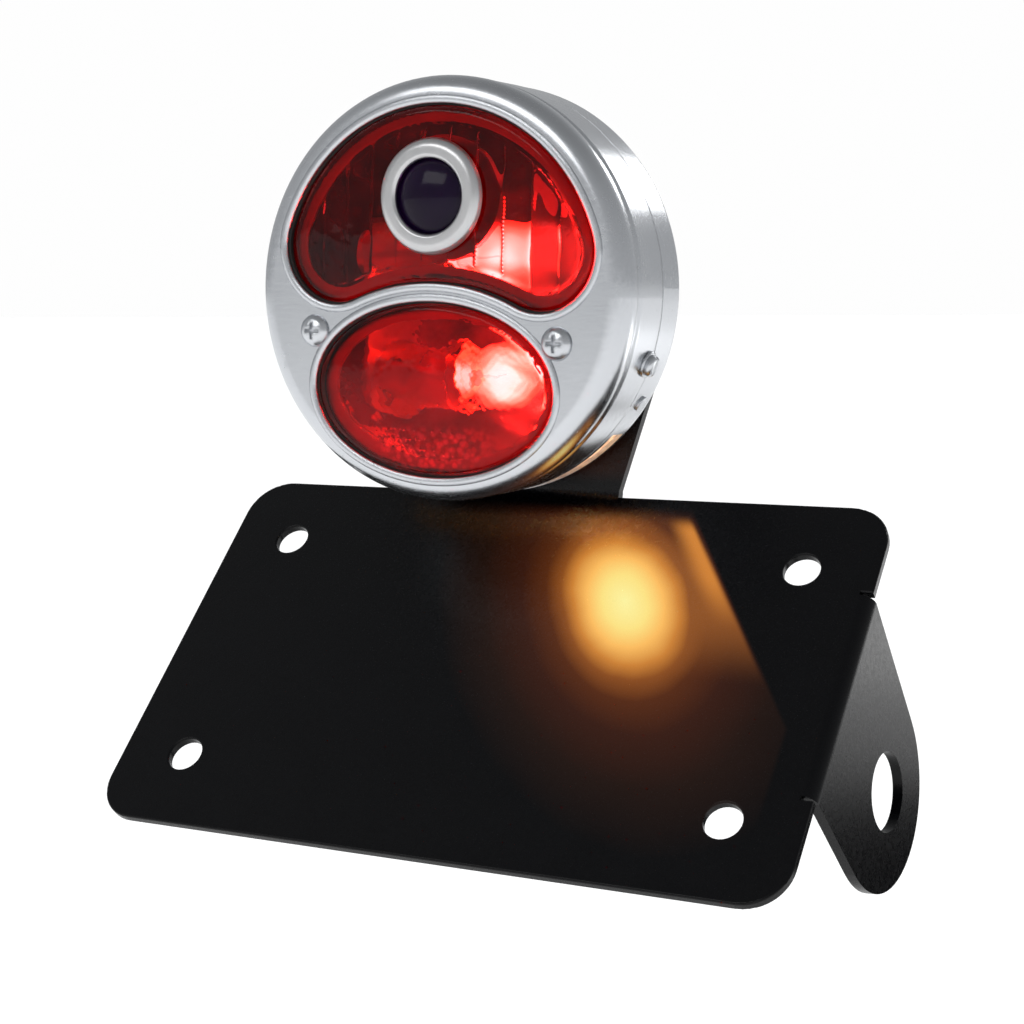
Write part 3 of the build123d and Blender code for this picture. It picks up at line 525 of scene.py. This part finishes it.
def black_rubber():
    look = Look("black_rubber", Specular_IOR_Level=0.3)
    bloom = look.noise(260.0, 4.0)
    look.set("Base Color", look.mix(bloom, (0.006, 0.006, 0.006, 1.0), (0.020, 0.019, 0.018, 1.0)))
    look.set("Roughness", look.span(bloom, 0.3, 0.7, 0.5, 0.72))
    look.bump(look.noise(2400.0, 2.0), 0.00004, 0.4)
    return look.material


TAIL_GLOW = 85.0
STOP_GLOW = 45.0
looks = {
    "black_powder_coat": black_powder_coat(),
    "polished_stainless": polished_stainless(),
    "zinc_steel": zinc_steel(),
    "spring_steel": spring_steel(),
    "satin_bezel": satin_bezel(),
    "red_lens": red_lens(),
    "lit_red_lens": lit_red_lens(),
    "blue_glass": blue_glass(),
    "clear_window": clear_window(),
    "bulb_glass": bulb_glass("stop_bulb_glass", STOP_GLOW),
    "lit_bulb_glass": bulb_glass("tail_bulb_glass", TAIL_GLOW),
    "filament": filament(),
    "brass": brass(),
    "solder": solder(),
    "black_glass": black_glass(),
    "fibre": fibre(),
    "black_rubber": black_rubber(),
}
for node in frame["nodes"].values():
    for material_slot in node.material_slots:
        material_slot.material = looks[material_slot.material.name]
frame["nodes"]["lamp_housing"].material_slots[0].material = housing_steel()


# ---- mesh building -------------------------------------------------------------------------
def add_piece(name, body, slot, place, points, faces, replaced, look=None, smooth_angle=35):
    """A smooth-shaded mesh from millimetre points, in place of the CAD nodes named, if any."""
    mesh = bpy.data.meshes.new(name)
    mesh.from_pydata([place @ (Vector(point) * MM) for point in points], [], faces)
    mesh.validate()
    shape = bmesh.new()
    shape.from_mesh(mesh)
    bmesh.ops.recalc_face_normals(shape, faces=shape.faces)
    shape.to_mesh(mesh)
    shape.free()
    mesh.materials.append(looks[look or slot])
    mesh.polygons.foreach_set("use_smooth", [True] * len(mesh.polygons))
    mesh.set_sharp_from_angle(angle=math.radians(smooth_angle))
    piece = bpy.data.objects.new(name, mesh)
    bpy.context.scene.collection.objects.link(piece)
    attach(piece, body)
    if replaced:
        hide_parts(*replaced)
    return piece


def revolved(profile, steps):
    """Points and faces of a closed profile of (radius, distance) turned about the distance axis."""
    points = []
    faces = []
    count = len(profile)
    for step in range(steps):
        turn = math.tau * step / steps
        points += [(radius * math.cos(turn), radius * math.sin(turn), distance)
                   for radius, distance in profile]
    for step in range(steps):
        here = step * count
        there = (step + 1) % steps * count
        for index in range(count):
            after = (index + 1) % count
            faces.append([here + index, here + after, there + after, there + index])
    return points, faces


def smooth_profile(corners, radius, steps=5):
    """A closed profile with every corner rounded by a short curve."""
    rounded = []
    count = len(corners)
    for index, corner in enumerate(corners):
        corner = Vector(corner)
        before = Vector(corners[index - 1]) - corner
        after = Vector(corners[(index + 1) % count]) - corner
        reach = min(radius, before.length * 0.45, after.length * 0.45)
        start = corner + before.normalized() * reach
        end = corner + after.normalized() * reach
        for step in range(steps + 1):
            share = step / steps
            rest = 1 - share
            rounded.append(tuple(start * rest ** 2 + corner * 2 * share * rest + end * share * share))
    return rounded


# ---- pressed lenses ------------------------------------------------------------------------
GRID = 0.55                  # mesh spacing on a lens
HEX_ROW = 0.866              # row spacing of a triangular pattern, as a share of its pitch
FLUTE = 7.4                  # pitch of the upper lens's vertical flutes
FLUTE_DEEP = 1.15
BORDER = 4.0                 # stepped rim round the pattern
BEAD = 1.35                  # pitch of the beads at the foot of the lower lens
BEAD_DEEP = 0.4
BEAD_TOP = -32.0
BEAD_ORIGIN = -60.0
LENS_THIN = 2.0              # glass between the domed front and the bottom of the pattern
RIM_ROUND = 0.9              # the front's rounding at its rim


def kidney_gap(x, z):
    """Signed distance from the upper opening's outline, positive inside."""
    x = abs(x)
    crown_r = math.hypot(LOBE_X, LOBE_Z) + LOBE_R
    saddle_r = math.hypot(LOBE_X, LOBE_Z - SADDLE_Z) - LOBE_R
    lobe_gap = LOBE_R - math.hypot(x - LOBE_X, z - LOBE_Z)
    above = LOBE_X * z - LOBE_Z * x >= 0
    beside = LOBE_X * (z - SADDLE_Z) - (LOBE_Z - SADDLE_Z) * x <= 0
    crown_gap = crown_r - math.hypot(x, z)
    saddle_gap = math.hypot(x, z - SADDLE_Z) - saddle_r
    if above:
        return crown_gap if beside else min(crown_gap, saddle_gap)
    return lobe_gap if beside else saddle_gap


def oval_gap(x, z):
    """Close to the signed distance from the lower opening's outline, positive inside."""
    rise = z - OVAL_Z
    scaled = math.hypot(x / OVAL_A, rise / OVAL_B)
    slope = math.hypot(x / OVAL_A ** 2, rise / OVAL_B ** 2)
    return (1 - scaled) * scaled / slope if scaled > 0.3 else OVAL_B * (1 - scaled)


def kidney_outline(grow, step=0.6):
    """Closed loop of points round the upper opening, grown by some distance."""
    lobe = LOBE_R + grow
    crown = math.atan2(LOBE_Z, LOBE_X)
    saddle = math.atan2(LOBE_Z - SADDLE_Z, LOBE_X)
    crown_r = math.hypot(LOBE_X, LOBE_Z) + lobe
    saddle_r = math.hypot(LOBE_X, LOBE_Z - SADDLE_Z) - lobe
    arcs = [((0, 0), crown_r, crown, math.pi - crown),
            ((-LOBE_X, LOBE_Z), lobe, math.pi - crown, math.tau - saddle),
            ((0, SADDLE_Z), saddle_r, math.pi - saddle, saddle),
            ((LOBE_X, LOBE_Z), lobe, math.pi + saddle, math.tau + crown)]
    return arc_points(arcs, step)


def arc_points(arcs, step):
    """Points along arcs given as (centre, radius, start, end), each arc's end left to the next."""
    loop = []
    for centre, radius, start, end in arcs:
        count = max(4, round(abs(end - start) * radius / step))
        for index in range(count):
            turn = start + (end - start) * index / count
            loop.append((centre[0] + radius * math.cos(turn), centre[1] + radius * math.sin(turn)))
    return loop


def oval_outline(grow, step=0.6):
    count = round(math.pi * (OVAL_A + OVAL_B) / step)
    turns = [math.tau * index / count for index in range(count)]
    return [((OVAL_A + grow) * math.cos(turn), OVAL_Z + (OVAL_B + grow) * math.sin(turn))
            for turn in turns]


def filled(loops, gap):
    """A triangulated sheet inside the first loop and outside the others: points, triangles, rims."""
    points = []
    edges = []
    for loop in loops:
        start = len(points)
        points += [Vector(point) for point in loop]
        edges += [(start + index, start + (index + 1) % len(loop)) for index in range(len(loop))]
    rim = points[:len(loops[0])]
    low_x = min(point.x for point in rim)
    high_x = max(point.x for point in rim)
    high_z = max(point.y for point in rim)
    row = 0
    z = min(point.y for point in rim) + GRID / 2
    while z < high_z:
        x = low_x + GRID / 2 + (GRID / 2 if row % 2 else 0)
        while x < high_x:
            if gap(x, z) > GRID * 0.6:
                points.append(Vector((x, z)))
            x += GRID
        z += GRID * HEX_ROW
        row += 1
    made_points, _, made_faces, given_points = delaunay_2d_cdt(points, edges, [], 0, 1e-6)[:4]
    places = [tuple(point) for point in made_points]
    number = {given: index for index, givens in enumerate(given_points) for given in givens}
    rims = []
    start = 0
    for loop in loops:
        rims.append([number[start + index] for index in range(len(loop))])
        start += len(loop)
    triangles = []
    for face in made_faces:
        centre = [sum(places[corner][axis] for corner in face) / 3 for axis in (0, 1)]
        if gap(*centre) > 0:
            triangles.append(list(face))
    return places, triangles, rims


def loop_walls(first, second, faces):
    """Quads between two loops of the same length, given as lists of point numbers."""
    count = len(first)
    for index in range(count):
        after = (index + 1) % count
        faces.append([first[index], first[after], second[after], second[index]])


def eased(distance, reach, power):
    """0 at the rim and 1 further in than reach, with a smooth shoulder."""
    share = min(max(distance / reach, 0), 1)
    return 1 - (1 - share) ** power


def fluted_wall(x, z, distance):
    """Thickness of the upper lens: convex vertical flutes behind, inside a stepped rim."""
    phase = (x / FLUTE + 0.5) % 1.0
    flute = FLUTE_DEEP * math.sqrt(max(0.0, 1 - (2 * phase - 1) ** 2))
    inside = eased(distance - BORDER, 1.2, 2)
    wave = 0.12 * math.sin(z * 0.55 + 3 * math.sin(x * 0.21))
    step = 0.25 * math.sin(z * math.tau / 9.5)
    border = 0.3 * (0.5 + 0.5 * math.sin(distance * 3.2)) * (1 - inside)
    return LENS_THIN + inside * (flute + wave + step) + border


def beaded_wall(x, z, distance):
    """Thickness of the lower lens: a fan of beads at the foot, slanting prisms and soft lumps above."""
    inside = eased(distance - BORDER * 0.5, 1.2, 2)
    fan = min(max((BEAD_TOP - z) / 3.0, 0), 1) * min(max((20.0 - abs(x)) / 6.0, 0), 1)
    height = z - BEAD_ORIGIN
    row = round(height / (BEAD * HEX_ROW))
    shift = 0.5 if row % 2 else 0.0
    column = round(x / BEAD - shift) + shift
    reach = math.hypot(x - column * BEAD, height - row * BEAD * HEX_ROW)
    bead = BEAD_DEEP * math.sqrt(max(0.0, 1 - (reach / (BEAD * 0.55)) ** 2))
    lumps = 0.35 * math.sin(x * 0.42 + 1.3 * math.sin(z * 0.35)) * math.sin(z * 0.5 + 0.7 * math.sin(x * 0.3))
    prisms = 0.8 * abs(((z - OVAL_Z + 0.25 * x) / 6.5) % 1.0 - 0.5)
    stipple = 0.07 * math.sin(x * 2.7 + math.sin(z * 1.1)) * math.sin(z * 2.9 + math.sin(x * 1.3))
    return LENS_THIN + inside * (fan * bead + (1 - fan) * (lumps + prisms + stipple + 0.35))


def domed(x, z, centre_z):
    """Depth of a lens's domed front."""
    return LENS_DOME_R - LENS_CROWN - math.sqrt(LENS_DOME_R ** 2 - x ** 2 - (z - centre_z) ** 2)


def pressed_lens(name, look, outline, gap, hole, centre_z, wall, replaced):
    """A lens in one closed mesh: domed front, side wall, flange and patterned back."""
    edge = outline(CROWN_EDGE)

    def inside(x, z):
        distance = gap(x, z) + CROWN_EDGE
        return min(distance, math.hypot(x, z - DOT_Z) - DOT_HOLE_R) if hole else distance

    places, triangles, rims = filled([edge] + ([hole] if hole else []), inside)
    fronts = []
    backs = []
    for x, z in places:
        distance = gap(x, z) + CROWN_EDGE
        dome = domed(x, z, centre_z)
        rise = eased(distance, 1.8, 2)
        fronts.append((x, dome + RIM_ROUND * (1 - eased(distance, 1.4, 2.2)), z))
        backs.append((x, LENS_BACK * (1 - rise) + (dome + wall(x, z, distance)) * rise, z))
    points = fronts + backs
    count = len(places)
    faces = triangles + [[count + corner for corner in reversed(triangle)] for triangle in triangles]
    lap = resampled(outline(LENS_LAP), len(edge))
    rings = [rims[0]]
    for loop, depth in ((edge, LENS_SEAT), (lap, LENS_SEAT), (lap, LENS_BACK)):
        rings.append(list(range(len(points), len(points) + len(loop))))
        points += [(x, depth, z) for x, z in loop]
    rings.append([count + index for index in rims[0]])
    for first, second in zip(rings, rings[1:]):
        loop_walls(first, second, faces)
    if hole:
        loop_walls([count + index for index in rims[1]], rims[1], faces)
    add_piece(name, "door", "red_lens", door_place, points, faces, replaced, look)


def resampled(loop, count):
    """The loop's points spread again to a given number."""
    size = len(loop)
    made = []
    for index in range(count):
        place = index * size / count
        low = int(place)
        here = Vector(loop[low % size])
        after = Vector(loop[(low + 1) % size])
        made.append(tuple(here.lerp(after, place - low)))
    return made


dot_turns = [math.tau * step / 120 for step in range(120)]
dot_hole = [(DOT_HOLE_R * math.cos(turn), DOT_Z + DOT_HOLE_R * math.sin(turn)) for turn in dot_turns]
pressed_lens("fluted_upper_lens", "red_lens", kidney_outline, kidney_gap, dot_hole, DOT_Z, fluted_wall,
             ["upper_lens"])
pressed_lens("beaded_lower_lens", "lit_red_lens", oval_outline, oval_gap, None, OVAL_Z, beaded_wall,
             ["lower_lens"])


# ---- rolled lips of the openings -----------------------------------------------------------
LIP_WIDE = 2.0
LIP_HIGH = 0.38              # proud of the door's face
LIP_INSIDE = 0.1             # how far the lip reaches into the opening
LIP_DEEP = 1.0               # its skirt, inside the opening
LIP_STEPS = 12


def rolled_lip(name, outline):
    """The edge of an opening, pressed into a low bead that falls away into it."""
    count = len(outline(0))
    turns = [math.pi * step / LIP_STEPS for step in range(LIP_STEPS + 1)]
    half = LIP_WIDE / 2
    section = [(half - LIP_INSIDE + half * math.cos(turn), -LIP_HIGH * math.sin(turn)) for turn in turns]
    section += [(-LIP_INSIDE, LIP_DEEP), (half, LIP_DEEP)]
    points = [(x, depth, z) for grow, depth in section for x, z in resampled(outline(grow), count)]
    rings = [list(range(start, start + count)) for start in range(0, len(points), count)]
    faces = []
    for index, ring in enumerate(rings):
        loop_walls(ring, rings[(index + 1) % len(rings)], faces)
    add_piece(name, "door", "polished_stainless", door_place, points, faces, [])


rolled_lip("upper_opening_lip", kidney_outline)
rolled_lip("lower_opening_lip", oval_outline)


# ---- blue dot ------------------------------------------------------------------------------
def turned_on_door(name, slot, profile, replaced):
    """A smooth turned piece about the blue dot's axis from (radius, depth) points."""
    points, faces = revolved(profile, 128)
    points = [(x, depth, z + DOT_Z) for x, z, depth in points]
    add_piece(name, "door", slot, door_place, points, faces, replaced)


def dot_bezel():
    """Ring with a rounded front, and a sleeve that passes back through the lens."""
    front = -DOT_PROUD
    seat = -LENS_CROWN - 0.8
    bore = DOT_GLASS_R - 0.9
    seat_bore = DOT_GLASS_R + 0.1
    sleeve_end = 7.0
    corners = [(bore, front + 1.4), (bore, front + 0.7), (DOT_GLASS_R - 0.2, front + 0.05),
               (DOT_BEZEL_R - 1.9, front + 0.1), (DOT_BEZEL_R - 0.5, front + 1.0), (DOT_BEZEL_R, front + 2.3),
               (DOT_BEZEL_R, seat), (DOT_SLEEVE_R, seat), (DOT_SLEEVE_R, sleeve_end), (seat_bore, sleeve_end),
               (seat_bore, front + 1.4)]
    turned_on_door("turned_dot_bezel", "satin_bezel", smooth_profile(corners, 0.7), ["blue_dot_bezel"])


def dot_gem():
    """Glass with a domed front and a nearly flat back."""
    base = -DOT_PROUD + 1.4
    lip = DOT_GLASS_R - 1.0
    dome_r = 16.0
    steps = 12
    dome_back = dome_r - DOT_PROUD - 0.9
    radii = [lip * step / steps for step in range(steps, -1, -1)]
    front = [(radius, dome_back - math.sqrt(dome_r ** 2 - radius ** 2)) for radius in radii]
    profile = [(HUB_R, base + 3.2), (4.0, base + 3.6), (DOT_GLASS_R - 1.2, base + 4.0),
               (DOT_GLASS_R, base + 3.2), (DOT_GLASS_R, base + 0.1), (lip, base)]
    profile += front[:-1] + [(HUB_R, front[-1][1])]
    turned_on_door("domed_dot_glass", "blue_glass", profile, ["blue_dot_gem"])


dot_bezel()
dot_gem()


# ---- bulbs ---------------------------------------------------------------------------------
GLOBE_WALL = 0.7
GLOBE_NECK_R = 6.6
GLOBE_STEPS = 24
SPRING_WIRE_R = 0.0004       # metres
SPRING_TURNS = 5.0
SPRING_STEPS = 240
SPRING_SIDES = 28


def bulb_globe(lamp, look):
    """Blown globe that narrows to a neck, as one thin wall."""
    low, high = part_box(lamp + "_bulb_glass")
    axis_y = (low.y + high.y) / 2 / MM
    axis_z = (low.z + high.z) / 2 / MM
    globe_r = (high.z - low.z) / 2 / MM
    centre = (high.x - low.x) / MM - globe_r
    outer = []
    for step in range(GLOBE_STEPS + 1):
        turn = math.radians(150) * step / GLOBE_STEPS
        outer.append((max(globe_r * math.sin(turn), HUB_R), centre + globe_r * math.cos(turn)))
    outer += [(GLOBE_NECK_R * 0.93, centre - globe_r * 0.98), (GLOBE_NECK_R, 2.0), (GLOBE_NECK_R, 0.0)]
    inner = []
    for radius, along in reversed(outer):
        crown = max(0.0, (along - centre) / globe_r)
        inner.append((max(radius - GLOBE_WALL, HUB_R / 2), along - GLOBE_WALL * crown))
    points, faces = revolved(outer + inner, 72)
    points = [(low.x / MM + along, axis_y + out, axis_z + up) for out, up, along in points]
    add_piece(lamp + "_blown_glass", lamp + "_bulb", "bulb_glass", Matrix.Identity(4), points, faces,
              [lamp + "_bulb_glass"], look)


bulb_globe("tail", "lit_bulb_glass")
bulb_globe("stop", "bulb_glass")


def coiled_spring(lamp):
    """A coil wound closer at its ends."""
    low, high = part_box(lamp + "_socket_spring")
    wire = SPRING_WIRE_R
    coil_r = (high.z - low.z) / 2 - wire
    centre = middle(lamp + "_socket_spring")
    points = []
    faces = []
    for step in range(SPRING_STEPS + 1):
        share = step / SPRING_STEPS
        turn = math.tau * SPRING_TURNS * share
        ease = share - math.sin(math.tau * share) * 0.08
        x = low.x + wire + (high.x - low.x - 2 * wire) * ease
        radial = Vector((0, math.cos(turn), math.sin(turn)))
        hub = Vector((x, centre.y, centre.z)) + radial * coil_r
        for side in range(SPRING_SIDES):
            spin = math.tau * side / SPRING_SIDES
            points.append((hub + (radial * math.cos(spin) + Vector((1, 0, 0)) * math.sin(spin)) * wire) / MM)
    rings = [list(range(start, start + SPRING_SIDES)) for start in range(0, len(points), SPRING_SIDES)]
    for first, second in zip(rings, rings[1:]):
        loop_walls(first, second, faces)
    faces.append(rings[0])
    faces.append(rings[-1][::-1])
    piece = add_piece(lamp + "_coiled_spring", "base", "spring_steel", Matrix.Identity(4), points, faces,
                      [lamp + "_socket_spring"])
    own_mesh(piece)


coiled_spring("tail")
coiled_spring("stop")


# ---- floor, light and camera ---------------------------------------------------------------
FLOOR_DROP = 0.11            # the light hangs clear of the floor, as held by its axle hole
FLOOR_REACH = 30.0
CARD_ENDS = ((-0.02, 0.30), (0.30, 0.20))
CARD_TOP = -0.050
WORLD_WHITE = 0.99
ROOM_STOPS = [(0.0, 0.40), (0.46, 0.45), (0.56, 0.52), (0.70, 0.46), (0.80, 0.42), (0.90, 0.34), (1.0, 0.28)]
floor_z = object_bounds()[0].z - FLOOR_DROP


def stage_quad(name, corners, look):
    """A flat four-cornered piece of the studio."""
    mesh = bpy.data.meshes.new(name)
    mesh.from_pydata(corners, [], [(0, 1, 2, 3)])
    mesh.materials.append(look.material)
    piece = bpy.data.objects.new(name, mesh)
    bpy.context.scene.collection.objects.link(piece)
    return piece


def studio_floor():
    look = Look("studio_floor", Roughness=0.8, Specular_IOR_Level=0.1, Emission_Color=(1.0, 1.0, 1.0, 1.0),
                Emission_Strength=0.18)
    look.set("Base Color", look.mix(look.noise(3.0, 2.0), (0.86, 0.86, 0.86, 1.0), (0.90, 0.90, 0.90, 1.0)))
    corners = [(across * FLOOR_REACH, along * FLOOR_REACH, floor_z)
               for across, along in ((-1, -1), (1, -1), (1, 1), (-1, 1))]
    floor = stage_quad("studio_floor", corners, look)


def flag():
    """A black card low behind the ear that shades its lower half; the camera doesn't see it."""
    look = Look("flag", Roughness=0.9, Specular_IOR_Level=0.0)
    look.set("Base Color", look.mix(look.noise(40.0), (0.008, 0.008, 0.008, 1.0), (0.014, 0.014, 0.014, 1.0)))
    start, end = CARD_ENDS
    foot = floor_z + 0.001
    card = stage_quad("flag", [(*start, foot), (*end, foot), (*end, CARD_TOP), (*start, CARD_TOP)], look)
    card.visible_camera = False
    card.visible_shadow = False
    card.visible_diffuse = False


def studio_world():
    """White to the camera; to everything else a room bright round the horizon and darker above."""
    world = bpy.data.worlds.new("studio")
    world.use_nodes = True
    tree = world.node_tree
    background = tree.nodes["Background"]
    coords = tree.nodes.new("ShaderNodeTexCoord")
    split = tree.nodes.new("ShaderNodeSeparateXYZ")
    tree.links.new(coords.outputs["Generated"], split.inputs[0])
    room = tree.nodes.new("ShaderNodeValToRGB")
    height = tree.nodes.new("ShaderNodeMapRange")
    height.inputs["From Min"].default_value = -1.0
    tree.links.new(split.outputs["Z"], height.inputs["Value"])
    tree.links.new(height.outputs["Result"], room.inputs[0])
    elements = room.color_ramp.elements
    while len(elements) < len(ROOM_STOPS):
        elements.new(0.5)
    for element, (place, value) in zip(elements, ROOM_STOPS):
        element.position = place
        element.color = (value * 0.97, value * 0.985, value, 1.0)
    path = tree.nodes.new("ShaderNodeLightPath")
    mix = tree.nodes.new("ShaderNodeMix")
    mix.data_type = "RGBA"
    tree.links.new(path.outputs["Is Camera Ray"], mix.inputs[0])
    tree.links.new(room.outputs["Color"], mix.inputs[6])
    mix.inputs[7].default_value = (WORLD_WHITE, WORLD_WHITE, WORLD_WHITE, 1.0)
    tree.links.new(mix.outputs[2], background.inputs["Color"])
    bpy.context.scene.world = world


def soft_box(name, direction, distance, width, height, power, target=lamp_face):
    """A rectangular studio light that faces the lamp or another point, in metres and watts."""
    data = bpy.data.lights.new(name, "AREA")
    data.shape = "RECTANGLE"
    data.size = width
    data.size_y = height
    data.energy = power
    light = bpy.data.objects.new(name, data)
    bpy.context.scene.collection.objects.link(light)
    place = target + Vector(direction).normalized() * distance
    facing = (target - place).to_track_quat("-Z", "Y").to_matrix().to_4x4()
    light.matrix_world = Matrix.Translation(place) @ facing
    light.visible_camera = False


def lights():
    sun = bpy.data.lights.new("overhead", "SUN")
    sun.energy = 2.1
    sun.angle = math.radians(70)
    overhead = bpy.data.objects.new("overhead", sun)
    overhead.rotation_euler = (math.radians(8), math.radians(6), 0)
    overhead.visible_glossy = False
    bpy.context.scene.collection.objects.link(overhead)
    ear = Vector(mounts["axle_hole"]["pos_m"])
    soft_box("ear_side", (0.462, 0.874, 0.05), 0.30, 0.13, 0.06, 0.045, target=ear)
    soft_box("rim_side", (0.20, 0.88, 0.40), 1.4, 0.20, 0.30, 1.8)
    soft_box("key", (-0.25, -0.80, 0.55), 1.5, 1.1, 0.5, 4.5)


CAMERA_AZIMUTH = math.radians(28.03)
CAMERA_ELEVATION = math.radians(6.03)
CAMERA_ROLL = math.radians(-0.38)
CAMERA_LENS = 69.94          # millimetres
CAMERA_BACK = 0.48899        # metres from the plate's centre
CAMERA_RIGHT = 0.006954
CAMERA_UP = 0.037395


def camera():
    """Seen from 28 degrees to the right and a little above, with a short telephoto lens."""
    level = math.cos(CAMERA_ELEVATION)
    back = Vector((math.sin(CAMERA_AZIMUTH) * level, -math.cos(CAMERA_AZIMUTH) * level,
                   math.sin(CAMERA_ELEVATION)))
    flat_right = Vector((math.cos(CAMERA_AZIMUTH), math.sin(CAMERA_AZIMUTH), 0))
    flat_up = back.cross(flat_right)
    right = flat_right * math.cos(CAMERA_ROLL) + flat_up * math.sin(CAMERA_ROLL)
    up = flat_up * math.cos(CAMERA_ROLL) - flat_right * math.sin(CAMERA_ROLL)
    data = bpy.data.cameras.new("camera")
    data.lens = CAMERA_LENS
    data.sensor_width = 36.0
    data.clip_start = 0.01
    data.clip_end = 100.0
    viewer = bpy.data.objects.new("camera", data)
    place = plate_centre + back * CAMERA_BACK + right * CAMERA_RIGHT + up * CAMERA_UP
    viewer.matrix_world = Matrix.Translation(place) @ Matrix((right, up, back)).transposed().to_4x4()
    bpy.context.scene.collection.objects.link(viewer)
    bpy.context.scene.camera = viewer


studio_floor()
flag()
studio_world()
lights()
camera()
bpy.context.scene.view_settings.view_transform = "Standard"
